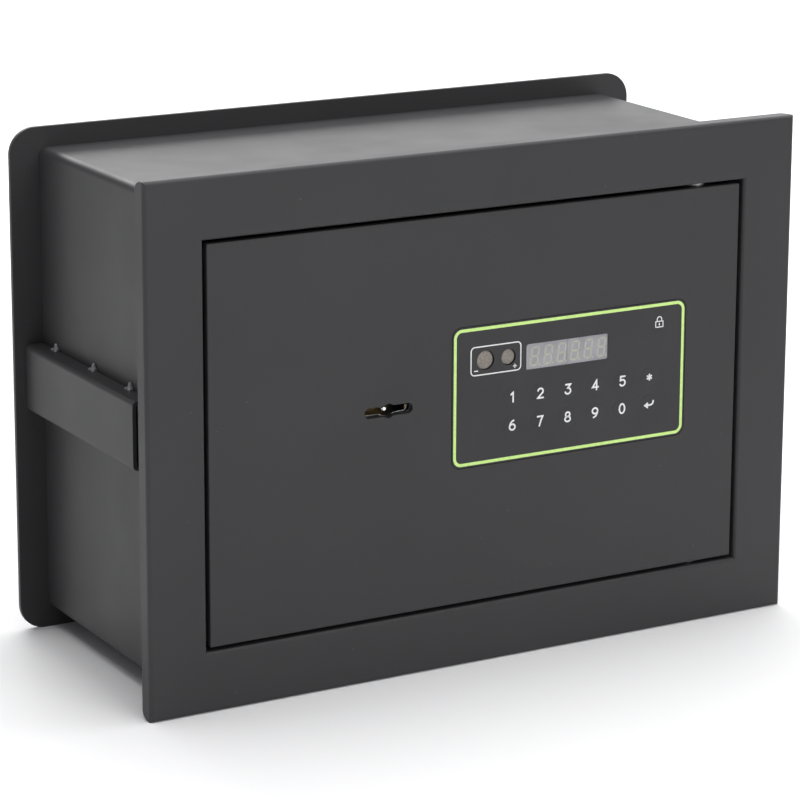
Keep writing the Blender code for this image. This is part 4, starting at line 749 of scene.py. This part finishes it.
def figures():
    """Strokes of each key's figure, in a box 0.6 wide and 1 high centred on the origin."""
    hook = arc(0.22, -0.2, 0.49, 0.7, 100, 180, 8)
    six = hook[:-1] + arc(0, -0.2, 0.27, 0.3, 180, 540, 28)
    rays = [math.radians(angle) for angle in (90, 30, 150)]
    return {
        "key_1": [[(-0.16, 0.29), (0.05, 0.5), (0.05, -0.5)]],
        "key_2": [arc(0, 0.21, 0.26, 0.29, 165, -35, 16) + [(-0.27, -0.5), (0.29, -0.5)]],
        "key_3": [[(-0.23, 0.5), (0.25, 0.5), (-0.03, 0.13)]
                  + arc(-0.02, -0.185, 0.28, 0.315, 88, -160, 20)],
        "key_4": [[(0.12, -0.5), (0.12, 0.5), (-0.29, -0.22), (0.29, -0.22)]],
        "key_5": [[(0.24, 0.5), (-0.19, 0.5), (-0.22, 0.08)]
                  + arc(-0.01, -0.18, 0.27, 0.32, 118, -150, 20)],
        "key_6": [six],
        "key_7": [[(-0.26, 0.5), (0.26, 0.5), (0.08, 0.06), (-0.07, -0.5)]],
        "key_8": [arc(0, 0.26, 0.215, 0.24, -90, 270, 24), arc(0, -0.23, 0.27, 0.27, 90, 450, 26)],
        "key_9": [[(-x, -z) for x, z in six]],
        "key_0": [arc(0, 0, 0.27, 0.5, 90, 450, 28)],
        "key_star": [[(0.24 * math.cos(a), 0.29 * math.sin(a)),
                      (-0.24 * math.cos(a), -0.29 * math.sin(a))] for a in rays],
        "key_enter": [[(0.46, 0.35)] + arc(0.12, 0.24, 0.32, 0.3, 0, -90, 8) + [(-0.2, -0.06)],
                      [(-0.15, 0.16), (-0.41, -0.06), (-0.15, -0.28), (-0.15, 0.16)],
                      [(-0.24, -0.06), (-0.2, 0.04)], [(-0.24, -0.06), (-0.2, -0.16)]],
    }


def middle_of(name):
    """Middle of a node's box as seen from the front, and half its width."""
    low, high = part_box(name)
    return (low.x + high.x) / 2, (low.z + high.z) / 2, (high.x - low.x) / 2


def dome_level(rest, radius, rise, cx, cz):
    """Depth of a key's face at (x, z): nearly flat on top, with a rounded rim."""
    def level(x, z):
        share = min(1.0, math.hypot(x - cx, z - cz) / radius)
        return rest - rise * (1 - share ** 4)
    return level


def key_piece(name):
    """A key's domed face with its rim tucked under the film, and its printed figure."""
    cx, cz, half = middle_of(name)
    radius = half + DOME_OVERLAP
    film_low, film_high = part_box("keypad_overlay")
    front = film_low.y
    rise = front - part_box(name)[0].y
    rings = 10
    level = dome_level(front, radius, rise, cx, cz)
    mesh = bmesh.new()
    rows = []
    for i in range(1, rings + 1):
        r = radius * i / rings
        row = [mesh.verts.new((cx + r * math.cos(a), 0, cz + r * math.sin(a)))
               for a in (2 * math.pi * j / ROUND_SIDES for j in range(ROUND_SIDES))]
        for vert in row:
            vert.co.y = level(vert.co.x, vert.co.z)
        rows.append(row)
    back = [mesh.verts.new((vert.co.x, film_high.y, vert.co.z)) for vert in rows[-1]]
    rows.append(back)
    centre = mesh.verts.new((cx, level(cx, cz), cz))
    for j in range(ROUND_SIDES):
        k = (j + 1) % ROUND_SIDES
        mesh.faces.new((centre, rows[0][j], rows[0][k]))
        for first, second in zip(rows, rows[1:]):
            mesh.faces.new((first[j], second[j], second[k], first[k]))
    mesh.faces.new(back)
    bmesh.ops.recalc_face_normals(mesh, faces=mesh.faces)
    dome = new_object(f"{name}_dome", mesh, FINISHES["keypad_film"])
    shade(dome, 40)
    body = body_of_node(name)
    place_piece(dome, body, "keypad_film", [name])
    strokes = []
    for route in figures()[name]:
        points = [(cx + x * FIGURE_WIDTH, cz + z * FIGURE_HEIGHT) for x, z in route]
        strokes.append(rounded_stroke(points, FIGURE_STROKE, level))
    printed = new_object(f"{name}_figure", joined(strokes), WHITE_INK)
    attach(printed, body)


def key_stem(name):
    """The plunger behind a key's face."""
    cx, cz, _ = middle_of(name)
    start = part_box("keypad_overlay")[1].y + FIT
    plunger = rod(STEM_RADIUS, (cx, start, cz), (cx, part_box(name)[1].y, cz), 24)
    made = new_object(f"{name}_stem", plunger, FINISHES["black_plastic"])
    soften(made, SMALL_EDGE)
    place_piece(made, body_of_node(name), "black_plastic")


def film_sheet():
    """The keypad film with holes for the domes, the contacts and the display."""
    low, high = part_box("keypad_overlay")
    sheet = block((low.x, high.x), (low.y, high.y), (low.z, high.z))
    round_corners(sheet, FILM_CORNER, 14)
    made = new_object("keypad_film", sheet, FINISHES["keypad_film"])
    depth = (low.y - MM, high.y + MM)
    gaps = dict.fromkeys(figures(), KEY_GAP) | dict.fromkeys(CONTACTS, CONTACT_GAP)
    holes = []
    for name, gap in gaps.items():
        cx, cz, half = middle_of(name)
        holes.append(rod(half + gap, (cx, depth[0], cz), (cx, depth[1], cz), ROUND_SIDES))
    cut(made, joined(holes))
    window_low, window_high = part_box("display_window")
    view = block((window_low.x, window_high.x), depth, (window_low.z, window_high.z))
    cut(made, round_corners(view, WINDOW_CORNER, 10))
    soften(made, FINE_EDGE, angle=50)
    weighted(made)
    place_piece(made, "door", "keypad_film", ["keypad_overlay"])


def printed_lines():
    """The lime line round the film, the frame round the contacts and their signs."""
    low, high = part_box("keypad_overlay")
    inset = LINE_INSET + LINE_WIDTH / 2
    outline((low.x + inset, high.x - inset), (low.z + inset, high.z - inset),
            FILM_CORNER - inset + LINE_CORNER, LINE_WIDTH, low.y, LIME_INK, "keypad_lime_line")
    left, level, _ = middle_of(CONTACTS[0])
    right = middle_of(CONTACTS[1])[0]
    outline((left - BOX_LEFT, right + BOX_RIGHT),
            (level - BOX_HALF_HEIGHT, level + BOX_HALF_HEIGHT), BOX_CORNER,
            BOX_LINE, low.y, WHITE_INK, "contact_outline")
    minus_x, plus_x, sign_z = left - 5.2 * MM, right + 3.5 * MM, level - SIGN_DROP
    signs = [
        [(minus_x - SIGN_HALF, sign_z), (minus_x + SIGN_HALF, sign_z)],
        [(plus_x - SIGN_HALF, sign_z), (plus_x + SIGN_HALF, sign_z)],
        [(plus_x, sign_z - SIGN_HALF), (plus_x, sign_z + SIGN_HALF)],
    ]
    flat = level_at(low.y)
    strokes = [rounded_stroke(route, THIN_STROKE, flat) for route in signs]
    made = new_object("contact_signs", joined(strokes), WHITE_INK)
    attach(made, "door")


def padlock_icon():
    """A plain padlock in the film's upper right corner."""
    low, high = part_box("keypad_overlay")
    flat = level_at(low.y)
    cx, cz = high.x - ICON_IN, high.z - ICON_DOWN
    x0, x1, z0, z1 = cx - 2.1 * MM, cx + 2.1 * MM, cz - 1.9 * MM, cz + 0.9 * MM
    body = [(x0, z0), (x1, z0), (x1, z1), (x0, z1), (x0, z0)]
    r = SHACKLE_RADIUS
    shackle = [(cx - r, cz + 1.0 * MM)] + arc(cx, cz + 1.9 * MM, r, r, 180, 0)
    shackle.append((cx + r, cz + 1.0 * MM))
    icon = [rounded_stroke(route, THIN_STROKE, flat) for route in (body, shackle)]
    icon.append(rounded_stroke([(cx, cz - 0.2 * MM), (cx, cz - 0.9 * MM)], 0.6 * MM, flat))
    made = new_object("padlock_icon", joined(icon), WHITE_INK)
    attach(made, "door")


def segment_figure(cx, cz, front):
    """Seven tapered bars and a point, slanted, as an unlit digit shows them."""
    half_w, half_h = DIGIT_WIDTH / 2, DIGIT_HEIGHT / 2
    routes = (
        ((-half_w, half_h), (half_w, half_h)),
        ((-half_w, 0), (half_w, 0)),
        ((-half_w, -half_h), (half_w, -half_h)),
        ((-half_w, half_h), (-half_w, 0)),
        ((half_w, half_h), (half_w, 0)),
        ((-half_w, 0), (-half_w, -half_h)),
        ((half_w, 0), (half_w, -half_h)),
    )
    half = DIGIT_STROKE / 2
    bars = []
    for start, end in routes:
        run = Vector((end[0] - start[0], end[1] - start[1]))
        way = run.normalized()
        stops = (SEGMENT_GAP, SEGMENT_GAP + half,
                 run.length - SEGMENT_GAP - half, run.length - SEGMENT_GAP)
        points = []
        for stop in stops:
            x, z = start[0] + way.x * stop, start[1] + way.y * stop
            points.append((cx + x + z * DIGIT_SLANT, cz + z))
        widths = [SEGMENT_TIP, half, half, SEGMENT_TIP]
        bars.append(strip(points, widths, level_at(front), SEGMENT_RISE))
    dot_x, dot_z = cx + half_w + POINT_RIGHT - half_h * DIGIT_SLANT, cz - half_h
    bars.append(rod(POINT_RADIUS, (dot_x, front - SEGMENT_RISE, dot_z),
                    (dot_x, front + FIT, dot_z), 24))
    return bars


def display():
    """Two three-digit modules behind one window."""
    for name in ("display_module_left", "display_module_right"):
        refined(name, FINE_EDGE)
    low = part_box("display_module_left")[0]
    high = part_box("display_module_right")[1]
    middle_x, middle_z = (low.x + high.x) / 2, (low.z + high.z) / 2
    for number in range(6):
        cx = middle_x + DIGIT_PITCH * (number - 2.5) + DIGITS_RIGHT
        bars = segment_figure(cx, middle_z, low.y)
        made = new_object(f"display_digit_{number + 1}", joined(bars), SEGMENT)
        place_piece(made, "door", "display_grey")
    refined("display_window", 0.08 * MM)


def contact_disc(name):
    """A dished contact with a raised rim, spun round its own middle."""
    low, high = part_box(name)
    cx, cz, radius = middle_of(name)
    face = low.y
    # (radius, depth behind the face) from the middle of the front round to the shank's end
    profile = [(0.0, 0.35 * MM), (radius * 0.55, 0.3 * MM), (radius * 0.78, 0.12 * MM),
               (radius * 0.86, 0.0), (radius * 0.94, 0.02 * MM), (radius, 0.2 * MM),
               (radius, 1.5 * MM), (1.5 * MM, 1.6 * MM), (1.5 * MM, high.y - face),
               (0.0, high.y - face)]
    mesh = bmesh.new()
    centre_front = mesh.verts.new((cx, face + profile[0][1], cz))
    centre_back = mesh.verts.new((cx, face + profile[-1][1], cz))
    rows = []
    for r, depth in profile[1:-1]:
        rows.append([mesh.verts.new((cx + r * math.cos(a), face + depth, cz + r * math.sin(a)))
                     for a in (2 * math.pi * j / ROUND_SIDES for j in range(ROUND_SIDES))])
    for j in range(ROUND_SIDES):
        k = (j + 1) % ROUND_SIDES
        mesh.faces.new((centre_front, rows[0][j], rows[0][k]))
        mesh.faces.new((centre_back, rows[-1][k], rows[-1][j]))
        for first, second in zip(rows, rows[1:]):
            mesh.faces.new((first[j], second[j], second[k], first[k]))
    bmesh.ops.recalc_face_normals(mesh, faces=mesh.faces)
    made = new_object(f"{name}_disc", mesh, FINISHES["contact_metal"])
    shade(made, 40)
    place_piece(made, "door", "contact_metal", [name])


# --- assembly -----------------------------------------------------------------------------------

for name, obj in frame["nodes"].items():
    obj.data.materials.clear()
    obj.data.materials.append(FINISHES[slot_of_node(name)])

folded_frame()
wrapped_body()
flange_plate()
for side in (-1, 1):
    anchor_welds(side)
for name in ("anchor_channel_left", "anchor_channel_right"):
    refined(name, 0.2 * MM)
refined("door_plate", EDGE)

film_sheet()
printed_lines()
padlock_icon()
display()
for name in CONTACTS:
    contact_disc(name)
for name in figures():
    key_piece(name)
    key_stem(name)

for name in ("lever_spring", "key_pin", "lock_case", "door_pan", "inner_cover",
             "hinge_lug_upper", "hinge_lug_lower", "hinge_pin_upper", "hinge_pin_lower",
             "bolt_upper", "bolt_lower", "bolt_carriage", "battery_box", "battery_lid",
             "reset_button", "gearbox", "drive_motor", "cover_screw_1", "cover_screw_2",
             "cover_screw_3", "cover_screw_4", "limit_switch", "guide_pin_1", "guide_pin_2",
             "guide_pin_3", "key_cam", "lock_levers", "circuit_board", "battery_pack",
             "hinge_washer_upper", "hinge_washer_lower"):
    refined(name, SMALL_EDGE)
for name in ("motor_lead", "battery_lead"):  # thin round leads: smooth shading only
    refined(name, 0, angle=60)


# --- stage, lights and camera -------------------------------------------------------------------


def floor():
    """A plain pale floor."""
    mesh = bmesh.new()
    bmesh.ops.create_grid(mesh, x_segments=8, y_segments=8, size=FLOOR_REACH)
    material, tree, shader, place = new_material("pale_floor", Roughness=0.8,
                                                 Specular_IOR_Level=0.1)
    tint = ramp(tree, noise(tree, place, 0.8, 2), [(0.3, grey(0.86)), (0.7, grey(0.88))])
    tree.links.new(tint, shader.inputs["Base Color"])
    made = new_object("studio_floor", mesh, material)


def area_light(name, place, size, power):
    """A rectangular lamp turned to the safe."""
    data = bpy.data.lights.new(name, "AREA")
    data.shape = "RECTANGLE"
    data.size, data.size_y = size
    data.energy = power
    made = bpy.data.objects.new(name, data)
    made.location = place
    made.rotation_mode = "QUATERNION"
    towards = Vector(LIGHT_TARGET) - Vector(place)
    made.rotation_quaternion = towards.to_track_quat("-Z", "Y")
    bpy.context.scene.collection.objects.link(made)


def studio():
    """White low walls, a dim ceiling, and soft lights over, before and behind the safe."""
    world = bpy.data.worlds.new("studio")
    bpy.context.scene.world = world
    world.use_nodes = True
    tree = world.node_tree
    around = tree.nodes.new("ShaderNodeTexCoord").outputs["Generated"]
    height = node(tree, "ShaderNodeSeparateXYZ", {"Vector": around}).outputs["Z"]
    white, dim = (0.99, 0.99, 1.0), (0.22, 0.22, 0.235)
    walls = ramp(tree, height, [(0.0, white), (0.05, white), (0.18, dim)])
    tree.links.new(walls, tree.nodes["Background"].inputs["Color"])
    area_light("top_light", (0.3, 0.2, 2.4), (3.0, 3.0), 92)
    area_light("front_light", (0.35, -2.6, 1.3), (1.6, 1.2), 20)
    area_light("back_light", (1.1, 1.9, 0.9), (2.0, 0.7), 12)
    area_light("edge_light", (0.1, 1.9, 1.15), (0.9, 0.6), 11)


def camera():
    """Set above the safe on its left and shifted, as a view camera is, to keep uprights upright."""
    data = bpy.data.cameras.new("camera")
    data.sensor_width = 36
    data.lens = CAMERA_LENS
    data.shift_y = CAMERA_SHIFT
    made = bpy.data.objects.new("camera", data)
    made.location = CAMERA_PLACE
    forward = Vector(CAMERA_FORWARD)
    made.rotation_mode = "QUATERNION"
    roll = Matrix.Rotation(math.radians(CAMERA_ROLL), 4, forward)
    made.rotation_quaternion = roll.to_quaternion() @ forward.to_track_quat("-Z", "Y")
    bpy.context.scene.collection.objects.link(made)
    bpy.context.scene.camera = made


floor()
studio()
camera()
bpy.context.scene.view_settings.view_transform = "Standard"

bpy.context.view_layer.update()
